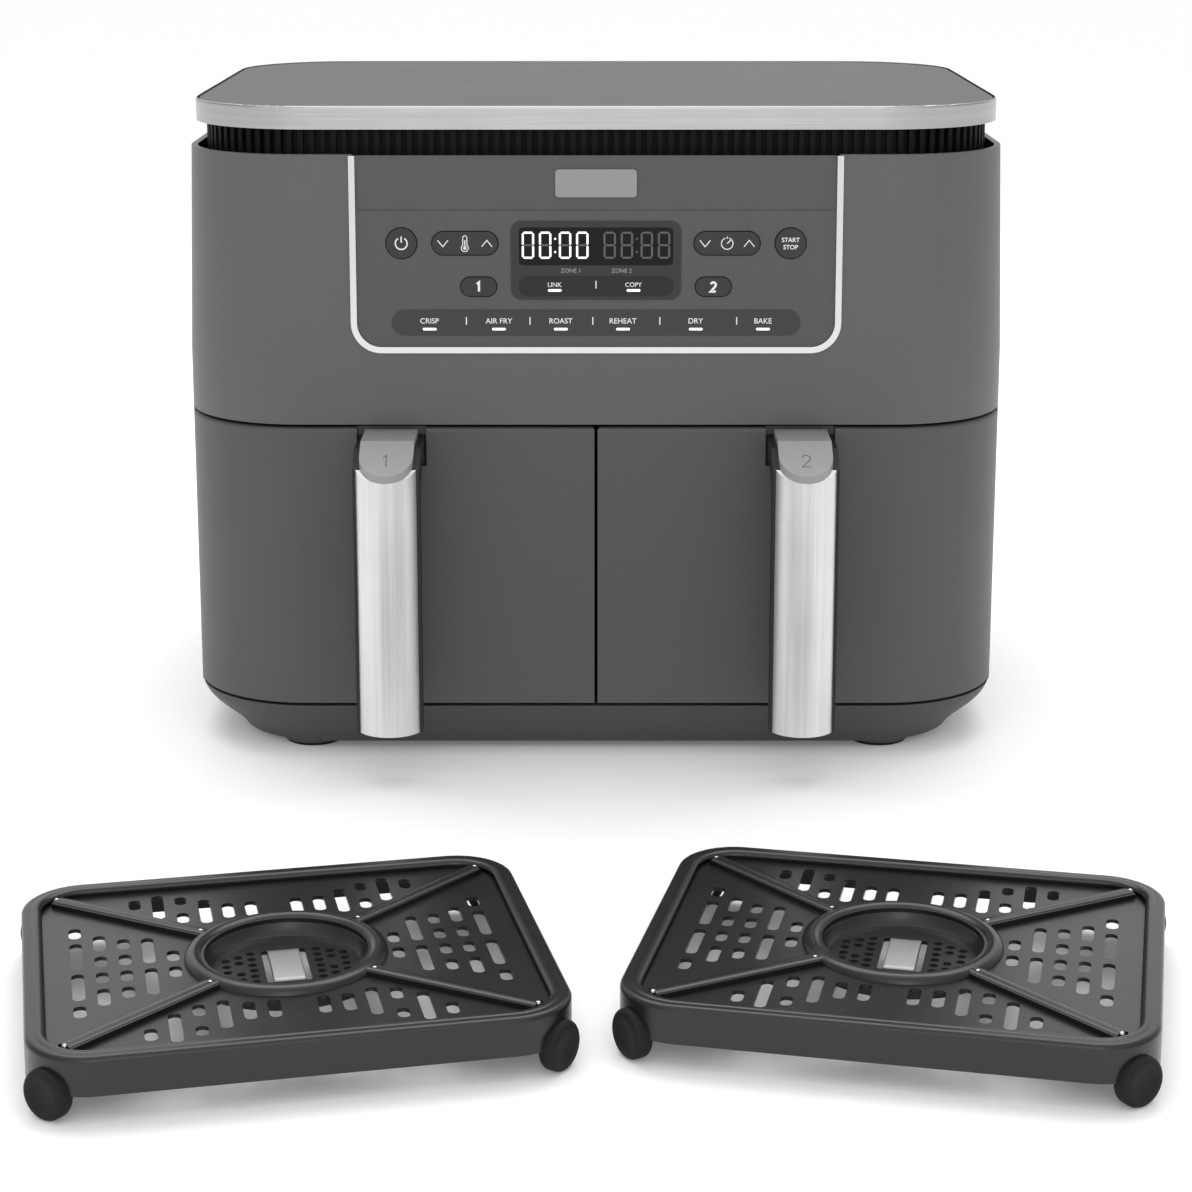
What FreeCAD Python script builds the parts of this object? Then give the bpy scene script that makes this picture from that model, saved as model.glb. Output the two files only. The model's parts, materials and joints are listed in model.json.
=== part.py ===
import FreeCAD, Part
import math
import os
import re
import Sketcher

# A two-drawer countertop air fryer with its two crisper plates, in millimetres.
# X runs to the user's right, Y runs to the rear and Z runs up. Pieces are drawn about the
# centre of the housing's footprint on the counter, and then all move along Y so that the
# origin is the middle of the whole set's footprint. Zone 1 is the left one, zone 2 the right.

SIZES = {
    # housing
    "housing_width": 397.0,
    "housing_depth": 305.0,
    "corner_radius": 58.0,
    "housing_wall": 3.0,
    "base_top": 26.0,
    "crease_height": 194.0,
    "rim_height": 293.0,
    "rim_inset": 3.0,
    # base and feet
    "base_bottom": 4.0,
    "base_side_inset": 21.0,
    "base_end_inset": 12.5,
    "base_wall": 10.0,
    "base_deck": 4.0,
    "foot_x": 140.0,
    "foot_setback": 31.0,
    "foot_radius": 16.0,
    "foot_pad_radius": 14.0,
    "foot_pad_height": 2.0,
    # lid
    "lid_overhang_side": 4.0,
    "lid_overhang_end": 10.0,
    "lid_bottom": 304.0,
    "lid_height": 11.0,
    "lid_corner": 60.0,
    "band_wall": 1.8,
    "band_lip": 1.2,
    "lid_inset_depth": 0.6,
    "lid_skin": 3.0,
    # vent ring under the lid
    "vent_recess": 5.0,
    "vent_wall": 2.5,
    "rib_depth": 3.0,
    "rib_width": 2.4,
    "rib_pitch": 5.1,
    "deck_height": 283.0,
    "deck_thickness": 3.0,
    # drawers
    "drawer_opening": 139.5,
    "drawer_gap": 1.5,
    "drawer_wrap": 45.0,
    "front_wall": 4.0,
    "front_edge": 2.0,
    "boss_radius": 7.0,
    "boss_spacing": 100.0,
    "boss_height": 90.0,
    "screw_radius": 2.0,
    "screw_head": 4.0,
    "screw_length": 12.0,
    "hole_clearance": 0.2,
    # cavity liners and baskets
    "divider_half": 2.2,
    "liner_wall": 1.0,
    "liner_clearance": 2.3,
    "liner_depth": 207.0,
    "liner_height": 157.0,
    "basket_gap": 3.8,
    "basket_lead": 12.0,
    "basket_rear_gap": 3.0,
    "basket_lift": 10.0,
    "basket_height": 114.0,
    "basket_wall": 1.5,
    "basket_corner": 20.0,
    "basket_round": 9.0,
    "basket_flange": 1.8,
    "runner_width": 12.0,
    "runner_gap": 0.4,
    # handles
    "handle_x": 97.0,
    "handle_reach": 46.9,
    "handle_bottom": 25.5,
    "grip_width": 31.0,
    "grip_depth": 10.0,
    "grip_round": 2.5,
    "cover_width": 28.0,
    "cover_bulge": 8.4,
    "cap_width": 25.0,
    "cap_thickness": 3.4,
    "cap_flat": 25.0,
    "cap_drop": 12.0,
    "cap_step": 1.0,
    "arm_depth": 12.6,
    "arm_round": 14.0,
    "notch_clearance": 1.0,
    # control panel, on the leaning upper front
    "panel_width": 224.6,
    "panel_foot": 8.9,
    "panel_head": 73.0,
    "panel_crown": 98.6,
    "panel_corner": 11.5,
    "panel_thickness": 2.4,
    "trim_width": 2.9,
    "trim_proud": 1.2,
    "trim_skirt": 0.9,
    "header_recess": 0.6,
    "badge_width": 38.0,
    "badge_height": 13.0,
    "badge_thickness": 0.9,
    "key_clearance": 0.35,
    "key_proud": 0.8,
    "round_key_radius": 7.2,
    "round_key_x": 91.0,
    "upper_row": 57.8,
    "lower_row": 37.4,
    "rocker_x": 61.3,
    "rocker_width": 30.9,
    "rocker_height": 10.9,
    "pivot_radius": 1.2,
    "zone_key_x": 55.0,
    "zone_key_width": 16.8,
    "zone_key_height": 9.0,
    "display_width": 79.7,
    "display_height": 37.0,
    "display_row": 49.8,
    "display_corner": 5.0,
    "lens_width": 72.2,
    "lens_height": 17.8,
    "touch_width": 72.8,
    "touch_height": 9.7,
    "function_width": 191.9,
    "function_height": 12.2,
    "function_row": 20.4,
    "board_setback": 12.0,
    "board_thickness": 1.6,
    "switch_gap": 0.9,
    "switch_size": 6.0,
    # heating and air
    "element_radius": 64.0,
    "element_inner_radius": 50.0,
    "element_tube": 3.2,
    "element_drop": 23.0,
    "guard_drop": 28.7,
    "guard_radius": 78.0,
    "guard_wire": 1.0,
    "shaft_radius": 3.0,
    "shaft_clearance": 0.06,
    "rotor_radius": 45.0,
    "rotor_hub": 9.0,
    "rotor_height": 11.0,
    "rotor_drop": 14.0,
    "blade_thickness": 2.0,
    "motor_radius": 24.0,
    "motor_height": 31.0,
    "motor_lift": 10.0,
    "cooling_radius": 36.0,
    "cooling_height": 10.0,
    "air_gap": 3.0,
    # rear of the housing
    "vent_width": 120.0,
    "vent_height": 50.0,
    "vent_centre": 145.0,
    "vent_flange": 4.0,
    "vent_plate": 1.5,
    "louvre_height": 3.0,
    "louvre_pitch": 6.0,
    "gland_x": 120.0,
    "gland_z": 60.0,
    "gland_radius": 8.0,
    "gland_bore": 3.4,
    "gland_flange": 11.0,
    "gland_length": 5.5,
    # crisper plates; plate_x runs from the middle to a plate's inmost bumper
    "plate_length": 196.0,
    "plate_width": 164.0,
    "plate_corner": 24.0,
    "plate_top": 24.5,
    "plate_depth": 14.5,
    "plate_skin": 1.5,
    "plate_rim": 6.0,
    "plate_sink": 3.0,
    "plate_round": 2.2,
    "ring_radius": 38.0,
    "well_radius": 31.0,
    "well_depth": 6.0,
    "plate_rib": 7.0,
    "plate_rib_height": 1.8,
    "slot_width": 4.7,
    "short_slot": 10.0,
    "medium_slot": 15.0,
    "long_slot": 24.0,
    "slot_gap": 5.0,
    "slot_pitch": 9.0,
    "first_column": 42.0,
    "window_width": 17.0,
    "window_length": 30.0,
    "strap_width": 12.0,
    "perforation": 1.7,
    "bumper_radius": 9.5,
    "bumper_inside": 4.5,
    "bumper_length": 7.5,
    "plate_x": 4.99,
    "plate_one_y": 442.0,
    "plate_two_y": 432.0,
    "plate_turn": 12.3,
}

ZONES = {1: -1, 2: 1}

doc = FreeCAD.newDocument("air_fryer")
sheet = doc.addObject("Spreadsheet::Sheet", "sizes")
for row, (alias, number) in enumerate(SIZES.items(), start=1):
    sheet.set(f"A{row}", alias)
    sheet.set(f"B{row}", str(number))
    sheet.setAlias(f"B{row}", alias)
doc.recompute()
probe = doc.addObject("App::FeaturePython", "probe")
nodes = []


# --- expressions -------------------------------------------------------------------------

def sized(text):
    """Point every size's name in an expression at its cell in the sheet."""
    return re.sub(r"\b([a-z]+(?:_[a-z]+)*)\b(?!\()", r"sizes.\1", text)


def value(text):
    """Work out an expression of sizes as a number."""
    return float(probe.evalExpression(sized(text)))


def bind(item, **fields):
    """Bind properties to expressions; a double underscore in a name stands for a dot."""
    for name, text in fields.items():
        item.setExpression(name.replace("__", "."), sized(text))


def node(item, name):
    """Name a finished sub-part, move it with the whole set and list it for writing."""
    moved = dict(item.ExpressionEngine).get(".Placement.Base.y", "0")
    item.setExpression(".Placement.Base.y", f"{moved} + {sized(SET_SHIFT)}")
    item.Label = name
    nodes.append(item)
    return item


# How far a turned plate's foremost bumper is from the plate's middle.
PLATE_REACH = ("((plate_length / 2 - plate_corner) * sin(plate_turn * 1deg)"
               " + (plate_width / 2 - plate_corner) * cos(plate_turn * 1deg)"
               " + (plate_corner - bumper_inside + bumper_length)"
               " * sin(45deg + plate_turn * 1deg)"
               " + bumper_radius * cos(45deg + plate_turn * 1deg))")

# How far a turned plate's inmost bumper is from the plate's middle.
PLATE_SPAN = ("((plate_length / 2 - plate_corner) * cos(plate_turn * 1deg)"
              " + (plate_width / 2 - plate_corner) * sin(plate_turn * 1deg)"
              " + (plate_corner - bumper_inside + bumper_length)"
              " * cos(45deg - plate_turn * 1deg)"
              " + bumper_radius * sin(45deg - plate_turn * 1deg))")

# How far the set moves back, so that its depth is centred: from the nearer plate's foremost
# bumper to the cord gland's rear end.
SET_SHIFT = f"(plate_one_y + {PLATE_REACH} - housing_depth / 2 - gland_length) / 2"


# --- Part primitives ---------------------------------------------------------------------

def box(x0, x1, y0, y1, z0, z1):
    """A box between six expressions."""
    item = doc.addObject("Part::Box", "Block")
    bind(item, Length=f"({x1}) - ({x0})", Width=f"({y1}) - ({y0})", Height=f"({z1}) - ({z0})")
    bind(item, Placement__Base__x=x0, Placement__Base__y=y0, Placement__Base__z=z0)
    return item


def post(x, y, z0, z1, radius):
    """An upright cylinder."""
    item = doc.addObject("Part::Cylinder", "Post")
    bind(item, Radius=radius, Height=f"({z1}) - ({z0})")
    bind(item, Placement__Base__x=x, Placement__Base__y=y, Placement__Base__z=z0)
    return item


def pin(x, y0, y1, z, radius):
    """A cylinder lying along Y."""
    item = doc.addObject("Part::Cylinder", "Pin")
    item.Placement = FreeCAD.Placement(FreeCAD.Vector(), FreeCAD.Rotation(FreeCAD.Vector(1, 0, 0), -90))
    bind(item, Radius=radius, Height=f"({y1}) - ({y0})")
    bind(item, Placement__Base__x=x, Placement__Base__y=y0, Placement__Base__z=z)
    return item


def bar(x0, x1, y, z, radius):
    """A cylinder lying along X."""
    item = doc.addObject("Part::Cylinder", "Bar")
    item.Placement = FreeCAD.Placement(FreeCAD.Vector(), FreeCAD.Rotation(FreeCAD.Vector(0, 1, 0), 90))
    bind(item, Radius=radius, Height=f"({x1}) - ({x0})")
    bind(item, Placement__Base__x=x0, Placement__Base__y=y, Placement__Base__z=z)
    return item


def hoop(x, y, z, radius, wire):
    """A level ring of round wire."""
    item = doc.addObject("Part::Torus", "Hoop")
    bind(item, Radius1=radius, Radius2=wire)
    bind(item, Placement__Base__x=x, Placement__Base__y=y, Placement__Base__z=z)
    return item


def joined(pieces):
    """One shape from several pieces."""
    item = doc.addObject("Part::MultiFuse", "Joined")
    item.Shapes = pieces
    return item


def cut(base, tools):
    """A shape with others taken away."""
    item = doc.addObject("Part::Cut", "Cut")
    item.Base = base
    item.Tool = tools[0] if len(tools) == 1 else joined(tools)
    return item


# --- PartDesign bodies -------------------------------------------------------------------

def new_body(name):
    """An empty PartDesign body."""
    return doc.addObject("PartDesign::Body", name + "_body")


def new_sketch(body, plane, offset="0"):
    """A sketch on one of the body's own origin planes, moved along that plane's normal."""
    sketch = body.newObject("Sketcher::SketchObject", "Sketch")
    origin_plane = [item for item in body.Origin.OriginFeatures if item.Role == plane][0]
    sketch.AttachmentSupport = (origin_plane, [""])
    sketch.MapMode = "FlatFace"
    bind(sketch, AttachmentOffset__Base__z=offset)
    return sketch


def hold(sketch, name, constraint, text):
    """Add a constraint and bind its value to an expression."""
    index = sketch.addConstraint(constraint)
    sketch.renameConstraint(index, name)
    sketch.setExpression("Constraints." + name, sized(text))


def outline(sketch, x0, x1, y0, y1, radii=(None, None, None, None)):
    """A closed rectangle with up to four rounded corners.

    The radii run from the corner at x0, y0 to x1, y0, then x1, y1 and x0, y1.
    """
    left, right, near, far = (value(text) for text in (x0, x1, y0, y1))
    first = sketch.GeometryCount
    reach = [0.0 if radius is None else value(radius) for radius in radii]
    spots = [(left, near), (right, near), (right, far), (left, far)]
    inward = [(1, 1), (-1, 1), (-1, -1), (1, -1)]
    lines = []
    for side in range(4):
        after = (side + 1) % 4
        along = (1, 0, -1, 0)[side], (0, 1, 0, -1)[side]
        begin = FreeCAD.Vector(spots[side][0] + along[0] * reach[side],
                               spots[side][1] + along[1] * reach[side], 0)
        end = FreeCAD.Vector(spots[after][0] - along[0] * reach[after],
                             spots[after][1] - along[1] * reach[after], 0)
        lines.append(sketch.addGeometry(Part.LineSegment(begin, end), False))
    for corner in range(4):
        before = lines[corner - 1]
        if radii[corner] is None:
            sketch.addConstraint(Sketcher.Constraint("Coincident", before, 2, lines[corner], 1))
            continue
        centre = FreeCAD.Vector(spots[corner][0] + inward[corner][0] * reach[corner],
                                spots[corner][1] + inward[corner][1] * reach[corner], 0)
        circle = Part.Circle(centre, FreeCAD.Vector(0, 0, 1), reach[corner])
        start = math.radians(180 + 90 * corner)
        arc = sketch.addGeometry(Part.ArcOfCircle(circle, start, start + math.pi / 2), False)
        sketch.addConstraint(Sketcher.Constraint("Tangent", before, 2, arc, 1))
        sketch.addConstraint(Sketcher.Constraint("Tangent", arc, 2, lines[corner], 1))
        hold(sketch, f"radius_{first}_{corner}",
             Sketcher.Constraint("Radius", arc, reach[corner]), radii[corner])
    for line, kind in zip(lines, ("Horizontal", "Vertical", "Horizontal", "Vertical")):
        sketch.addConstraint(Sketcher.Constraint(kind, line))
    hold(sketch, f"near_{first}", Sketcher.Constraint("DistanceY", -1, 1, lines[0], 1, near), y0)
    hold(sketch, f"right_{first}", Sketcher.Constraint("DistanceX", -1, 1, lines[1], 1, right), x1)
    hold(sketch, f"far_{first}", Sketcher.Constraint("DistanceY", -1, 1, lines[2], 1, far), y1)
    hold(sketch, f"left_{first}", Sketcher.Constraint("DistanceX", -1, 1, lines[3], 1, left), x0)
    return sketch


def centred(sketch, x, y, width, height, radius=None):
    """An outline about a centre, with one corner radius."""
    return outline(sketch, f"{x} - ({width}) / 2", f"{x} + ({width}) / 2",
                   f"{y} - ({height}) / 2", f"{y} + ({height}) / 2", (radius,) * 4)


def pill(sketch, x, y, width, height):
    """A stadium whose long side runs along the sketch's X, or its Y where it is taller."""
    across, up = value(width) / 2, value(height) / 2
    upright = up > across
    radius = min(across, up)
    run = max(across, up) - radius
    spot = FreeCAD.Vector(value(x), value(y), 0)
    way = FreeCAD.Vector(0, 1, 0) if upright else FreeCAD.Vector(1, 0, 0)
    side = FreeCAD.Vector(-way.y, way.x, 0)
    turn = math.pi / 2 if upright else 0.0
    up_axis = FreeCAD.Vector(0, 0, 1)
    first = sketch.addGeometry(
        Part.LineSegment(spot - way * run - side * radius, spot + way * run - side * radius), False)
    head = sketch.addGeometry(Part.ArcOfCircle(
        Part.Circle(spot + way * run, up_axis, radius), turn - math.pi / 2, turn + math.pi / 2), False)
    second = sketch.addGeometry(
        Part.LineSegment(spot + way * run + side * radius, spot - way * run + side * radius), False)
    tail = sketch.addGeometry(Part.ArcOfCircle(
        Part.Circle(spot - way * run, up_axis, radius), turn + math.pi / 2, turn + 3 * math.pi / 2), False)
    for one, other in ((first, head), (head, second), (second, tail), (tail, first)):
        sketch.addConstraint(Sketcher.Constraint("Tangent", one, 2, other, 1))
    sketch.addConstraint(Sketcher.Constraint("Vertical" if upright else "Horizontal", first))
    width_text, height_text = (height, width) if upright else (width, height)
    reach_x, reach_y = (f"{x}", f"{y} + ({width_text} - ({height_text})) / 2") if upright else (
        f"{x} + ({width_text} - ({height_text})) / 2", f"{y}")
    hold(sketch, f"radius_{first}", Sketcher.Constraint("Radius", head, radius), f"({height_text}) / 2")
    hold(sketch, f"head_x_{first}", Sketcher.Constraint("DistanceX", -1, 1, head, 3, value(reach_x)),
         reach_x)
    hold(sketch, f"head_y_{first}", Sketcher.Constraint("DistanceY", -1, 1, head, 3, value(reach_y)),
         reach_y)
    run_text = f"{width_text} - ({height_text})"
    hold(sketch, f"run_{first}", Sketcher.Constraint("Distance", tail, 3, head, 3, 2 * run), run_text)
    return sketch


def disc(sketch, x, y, radius):
    """A circle."""
    spot = FreeCAD.Vector(value(x), value(y), 0)
    circle = Part.Circle(spot, FreeCAD.Vector(0, 0, 1), value(radius))
    index = sketch.addGeometry(circle, False)
    hold(sketch, f"radius_{index}", Sketcher.Constraint("Radius", index, value(radius)), radius)
    hold(sketch, f"x_{index}", Sketcher.Constraint("DistanceX", -1, 1, index, 3, spot.x), x)
    hold(sketch, f"y_{index}", Sketcher.Constraint("DistanceY", -1, 1, index, 3, spot.y), y)
    return sketch


def polygon(sketch, corners):
    """A closed polygon whose corners are pairs of expressions."""
    spots = [FreeCAD.Vector(value(x), value(y), 0) for x, y in corners]
    lines = []
    for index, spot in enumerate(spots):
        after = spots[(index + 1) % len(spots)]
        lines.append(sketch.addGeometry(Part.LineSegment(spot, after), False))
    for index, line in enumerate(lines):
        sketch.addConstraint(Sketcher.Constraint("Coincident", lines[index - 1], 2, line, 1))
        x, y = corners[index]
        hold(sketch, f"x_{line}", Sketcher.Constraint("DistanceX", -1, 1, line, 1, spots[index].x), x)
        hold(sketch, f"y_{line}", Sketcher.Constraint("DistanceY", -1, 1, line, 1, spots[index].y), y)
    return sketch


def pad(body, sketch, length, both_ways=False):
    """Extrude a sketch along its normal, or half each way."""
    feature = body.newObject("PartDesign::Pad", "Pad")
    feature.Profile = (sketch, [""])
    feature.SideType = "Symmetric" if both_ways else "One side"
    bind(feature, Length=length)
    sketch.Visibility = False
    return feature


def pocket(body, sketch, length, both_ways=False, forward=False):
    """Cut a sketch against its normal, half each way, or along its normal."""
    feature = body.newObject("PartDesign::Pocket", "Pocket")
    feature.Profile = (sketch, [""])
    feature.SideType = "Symmetric" if both_ways else "One side"
    feature.Reversed = forward
    bind(feature, Length=length)
    return feature


def loft(body, sections, kind="PartDesign::AdditiveLoft", straight=True):
    """Loft through sections, adding or taking away."""
    feature = body.newObject(kind, "Loft")
    feature.Profile = (sections[0], [""])
    feature.Sections = [(section, [""]) for section in sections[1:]]
    feature.Ruled = straight
    return feature


def soften(body, radius, chosen):
    """Round the edges of the body's newest feature that pass a test."""
    doc.recompute()
    base = body.Tip
    names = [f"Edge{index}" for index, edge in enumerate(base.Shape.Edges, start=1) if chosen(edge)]
    feature = body.newObject("PartDesign::Fillet", "Fillet")
    feature.Base = (base, names)
    bind(feature, Radius=radius)
    return feature


def level(edge, height):
    """Whether an edge lies flat at a height."""
    return abs(edge.BoundBox.ZMin - height) < 1e-3 and abs(edge.BoundBox.ZMax - height) < 1e-3


def plan(body, height, half_width, half_depth, radius):
    """A rounded rectangle about the origin, at a height."""
    sketch = new_sketch(body, "XY_Plane", height)
    return outline(sketch, f"-({half_width})", half_width, f"-({half_depth})", half_depth, (radius,) * 4)


def lean(item):
    """Stand a piece that was drawn upright at the origin against the leaning upper front."""
    item.Placement = FreeCAD.Placement(FreeCAD.Vector(), FreeCAD.Rotation(FreeCAD.Vector(-1, 0, 0), 1))
    bind(item, Placement__Base__y="-housing_depth / 2", Placement__Base__z="crease_height",
         Placement__Rotation__Angle="atan(rim_inset / (rim_height - crease_height))")
    return item


# --- housing -----------------------------------------------------------------------------

HALF_WIDTH = "housing_width / 2"
HALF_DEPTH = "housing_depth / 2"
DRAWER_ROOF = "base_top + drawer_opening"
WRAP_BACK = f"-{HALF_DEPTH} + drawer_wrap"
OUTSIDE = "10"


def housing_shell():
    """The painted shell: straight walls to the crease, then walls that lean in to the rim."""
    body = new_body("housing_shell")
    pad(body, plan(body, "base_top", HALF_WIDTH, HALF_DEPTH, "corner_radius"),
        "crease_height - base_top")
    skins = []
    for wall in ("0", "housing_wall"):
        crease = plan(body, "crease_height", f"{HALF_WIDTH} - {wall}", f"{HALF_DEPTH} - {wall}",
                      f"corner_radius - {wall}")
        rim = plan(body, "rim_height", f"{HALF_WIDTH} - {wall} - rim_inset",
                   f"{HALF_DEPTH} - {wall} - rim_inset", f"corner_radius - {wall} - rim_inset")
        skins.append((crease, rim))
    loft(body, skins[0])
    loft(body, skins[1], "PartDesign::SubtractiveLoft")
    inner = plan(body, "crease_height", f"{HALF_WIDTH} - housing_wall", f"{HALF_DEPTH} - housing_wall",
                 "corner_radius - housing_wall")
    pocket(body, inner, "crease_height - base_top")
    drawers = new_sketch(body, "XY_Plane", DRAWER_ROOF)
    outline(drawers, f"-{HALF_WIDTH} - {OUTSIDE}", f"{HALF_WIDTH} + {OUTSIDE}",
            f"-{HALF_DEPTH} - {OUTSIDE}", WRAP_BACK)
    pocket(body, drawers, "drawer_opening + base_wall")
    panel = new_sketch(body, "XZ_Plane", f"{HALF_DEPTH} + {OUTSIDE}")
    inside = "panel_width / 2 + trim_skirt + key_clearance"
    foot = "crease_height + panel_foot - trim_skirt - key_clearance"
    outline(panel, f"-({inside})", inside, foot, f"rim_height + {OUTSIDE}",
            ("panel_corner", "panel_corner", None, None))
    pocket(body, panel, f"{OUTSIDE} + housing_wall * 3")
    vent = new_sketch(body, "XZ_Plane", f"-{HALF_DEPTH} - {OUTSIDE}")
    centred(vent, "0", "vent_centre", "vent_width", "vent_height", "vent_flange")
    disc(vent, "gland_x", "gland_z", "gland_radius + key_clearance")
    pocket(body, vent, f"{OUTSIDE} + housing_wall * 2", forward=True)
    return node(body, "housing_shell")


def base_pan():
    """The dark base: it rounds under to a smaller foot, is hollow below and carries four bosses."""
    body = new_body("base_pan")
    sections = []
    rise = "(base_top - base_bottom)"
    for height, share in ((0, 1), (0.45, 0.5), (0.73, 0.17), (1, 0.015)):
        sections.append(plan(body, f"base_bottom + {rise} * {height}",
                             f"{HALF_WIDTH} - base_side_inset * {share}",
                             f"{HALF_DEPTH} - base_end_inset * {share}",
                             f"corner_radius - base_end_inset * {share}"))
    loft(body, sections, straight=False)
    hollow = plan(body, "base_bottom", f"{HALF_WIDTH} - base_side_inset - base_wall",
                  f"{HALF_DEPTH} - base_end_inset - base_wall",
                  "corner_radius - base_end_inset - base_wall")
    pocket(body, hollow, f"{rise} - base_deck", forward=True)
    bosses = new_sketch(body, "XY_Plane", "foot_pad_height")
    for x in ("foot_x", "-foot_x"):
        for y in (f"{HALF_DEPTH} - foot_setback", f"foot_setback - {HALF_DEPTH}"):
            disc(bosses, x, y, "foot_radius")
    pad(body, bosses, "base_top - base_deck / 2 - foot_pad_height")
    return node(body, "base_pan")


def foot_pads():
    """Four rubber pads that carry the fryer."""
    pads = []
    for x in ("foot_x", "-foot_x"):
        for y in (f"{HALF_DEPTH} - foot_setback", f"foot_setback - {HALF_DEPTH}"):
            pads.append(post(x, y, "0", "foot_pad_height", "foot_pad_radius"))
    return node(joined(pads), "foot_pads")


def rear_vent_cover():
    """The louvred cover over the air outlet at the rear."""
    body = new_body("rear_vent_cover")
    flange = new_sketch(body, "XZ_Plane", f"-{HALF_DEPTH} - vent_plate")
    centred(flange, "0", "vent_centre", "vent_width + vent_flange * 2", "vent_height + vent_flange * 2",
            "vent_flange * 2")
    pad(body, flange, "vent_plate")
    plug = new_sketch(body, "XZ_Plane", f"-{HALF_DEPTH} - vent_plate")
    fit = "key_clearance * 2"
    centred(plug, "0", "vent_centre", f"vent_width - {fit}", f"vent_height - {fit}", "vent_flange")
    pad(body, plug, "vent_plate + housing_wall")
    louvre = new_sketch(body, "XZ_Plane", f"-{HALF_DEPTH} - vent_plate - {OUTSIDE}")
    pill(louvre, "0", "vent_centre - louvre_pitch * 3", "vent_width - vent_flange * 3", "louvre_height")
    slot = pocket(body, louvre, f"{OUTSIDE} * 2", forward=True)
    doc.recompute()
    pattern = body.newObject("PartDesign::LinearPattern", "Louvres")
    pattern.Originals = [slot]
    pattern.Direction = (louvre, ["V_Axis"])
    bind(pattern, Length="louvre_pitch * 6")
    pattern.Occurrences = 7
    body.Tip = pattern
    return node(body, "rear_vent_cover")


def cord_gland():
    """The gland through which the supply cord would enter."""
    sleeve = pin("gland_x", f"{HALF_DEPTH} - housing_wall - 1", f"{HALF_DEPTH} + gland_length",
                 "gland_z", "gland_radius")
    flange = pin("gland_x", HALF_DEPTH, f"{HALF_DEPTH} + gland_length / 2", "gland_z", "gland_flange")
    bore = pin("gland_x", f"{HALF_DEPTH} - {OUTSIDE}", f"{HALF_DEPTH} + {OUTSIDE}", "gland_z",
               "gland_bore")
    return node(cut(joined([sleeve, flange]), [bore]), "cord_gland")


# --- top ---------------------------------------------------------------------------------

LID_HALF_WIDTH = "(housing_width / 2 - lid_overhang_side)"
LID_HALF_DEPTH = "(housing_depth / 2 - lid_overhang_end)"


def top_deck():
    """The deck under the vent ring, with an outlet above each cooling fan."""
    body = new_body("top_deck")
    share = "(deck_height - crease_height) / (rim_height - crease_height)"
    inset = f"(housing_wall + rim_inset * {share})"
    pad(body, plan(body, "deck_height - deck_thickness", f"{HALF_WIDTH} - {inset}",
                   f"{HALF_DEPTH} - {inset}", f"corner_radius - {inset}"), "deck_thickness")
    outlets = new_sketch(body, "XY_Plane", "deck_height")
    for side in ZONES.values():
        disc(outlets, zone_x(side), ZONE_Y, "cooling_radius")
    pocket(body, outlets, "deck_thickness")
    return node(body, "top_deck")


def neck_spot(run, out, half_width, half_depth, radius):
    """The point a run along the neck's rounded outline, moved outwards."""
    turn = radius * math.pi / 2
    sides = (half_width - radius, half_depth - radius)
    for quarter in range(4):
        length = 2 * sides[quarter % 2]
        angle = quarter * math.pi / 2
        along = FreeCAD.Vector(math.cos(angle), math.sin(angle), 0)
        outward = FreeCAD.Vector(math.sin(angle), -math.cos(angle), 0)
        reach = (half_depth, half_width)[quarter % 2]
        if run <= length:
            return along * (run - length / 2) + outward * (reach + out)
        run -= length
        if run <= turn:
            centre = along * (length / 2) + outward * (reach - radius)
            bend = run / radius
            way = outward * math.cos(bend) + along * math.sin(bend)
            return centre + way * (radius + out)
        run -= turn
    return neck_spot(run, out, half_width, half_depth, radius)


def vent_ring():
    """The black ribbed neck under the lid that lets air in."""
    neck = (value(f"{LID_HALF_WIDTH} - vent_recess - rib_depth"),
            value(f"{LID_HALF_DEPTH} - vent_recess - rib_depth"),
            value("lid_corner - vent_recess - rib_depth"))
    round_run = 4 * (neck[0] + neck[1] - 2 * neck[2]) + 2 * math.pi * neck[2]
    count = int(round_run // value("rib_pitch"))
    pitch = round_run / count
    height = value("lid_bottom + lid_height - lid_inset_depth - lid_skin - deck_height")
    outer, inner = [], []
    for rib in range(count):
        for along, out in ((0, 0), (0, value("rib_depth")),
                           (value("rib_width"), value("rib_depth")), (value("rib_width"), 0)):
            outer.append(neck_spot(rib * pitch + along, out, *neck))
        inner.append(neck_spot(rib * pitch, -value("vent_wall"), *neck))
    wires = [Part.makePolygon(spots + spots[:1]) for spots in (outer, inner)]
    ring = doc.addObject("Part::Feature", "Neck")
    ring.Shape = Part.makeFace(wires, "Part::FaceMakerBullseye").extrude(FreeCAD.Vector(0, 0, height))
    bind(ring, Placement__Base__z="deck_height")
    return node(ring, "vent_ring")


def lid_top():
    """The grey insert of the lid, hollow below."""
    body = new_body("lid_top")
    width, depth = f"{LID_HALF_WIDTH} - band_wall", f"{LID_HALF_DEPTH} - band_wall"
    pad(body, plan(body, "lid_bottom", width, depth, "lid_corner - band_wall"),
        "lid_height - lid_inset_depth")
    hollow = plan(body, "lid_bottom", f"{width} - vent_wall", f"{depth} - vent_wall",
                  "lid_corner - band_wall - vent_wall")
    pocket(body, hollow, "lid_height - lid_inset_depth - lid_skin", forward=True)
    return node(body, "lid_top")


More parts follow.
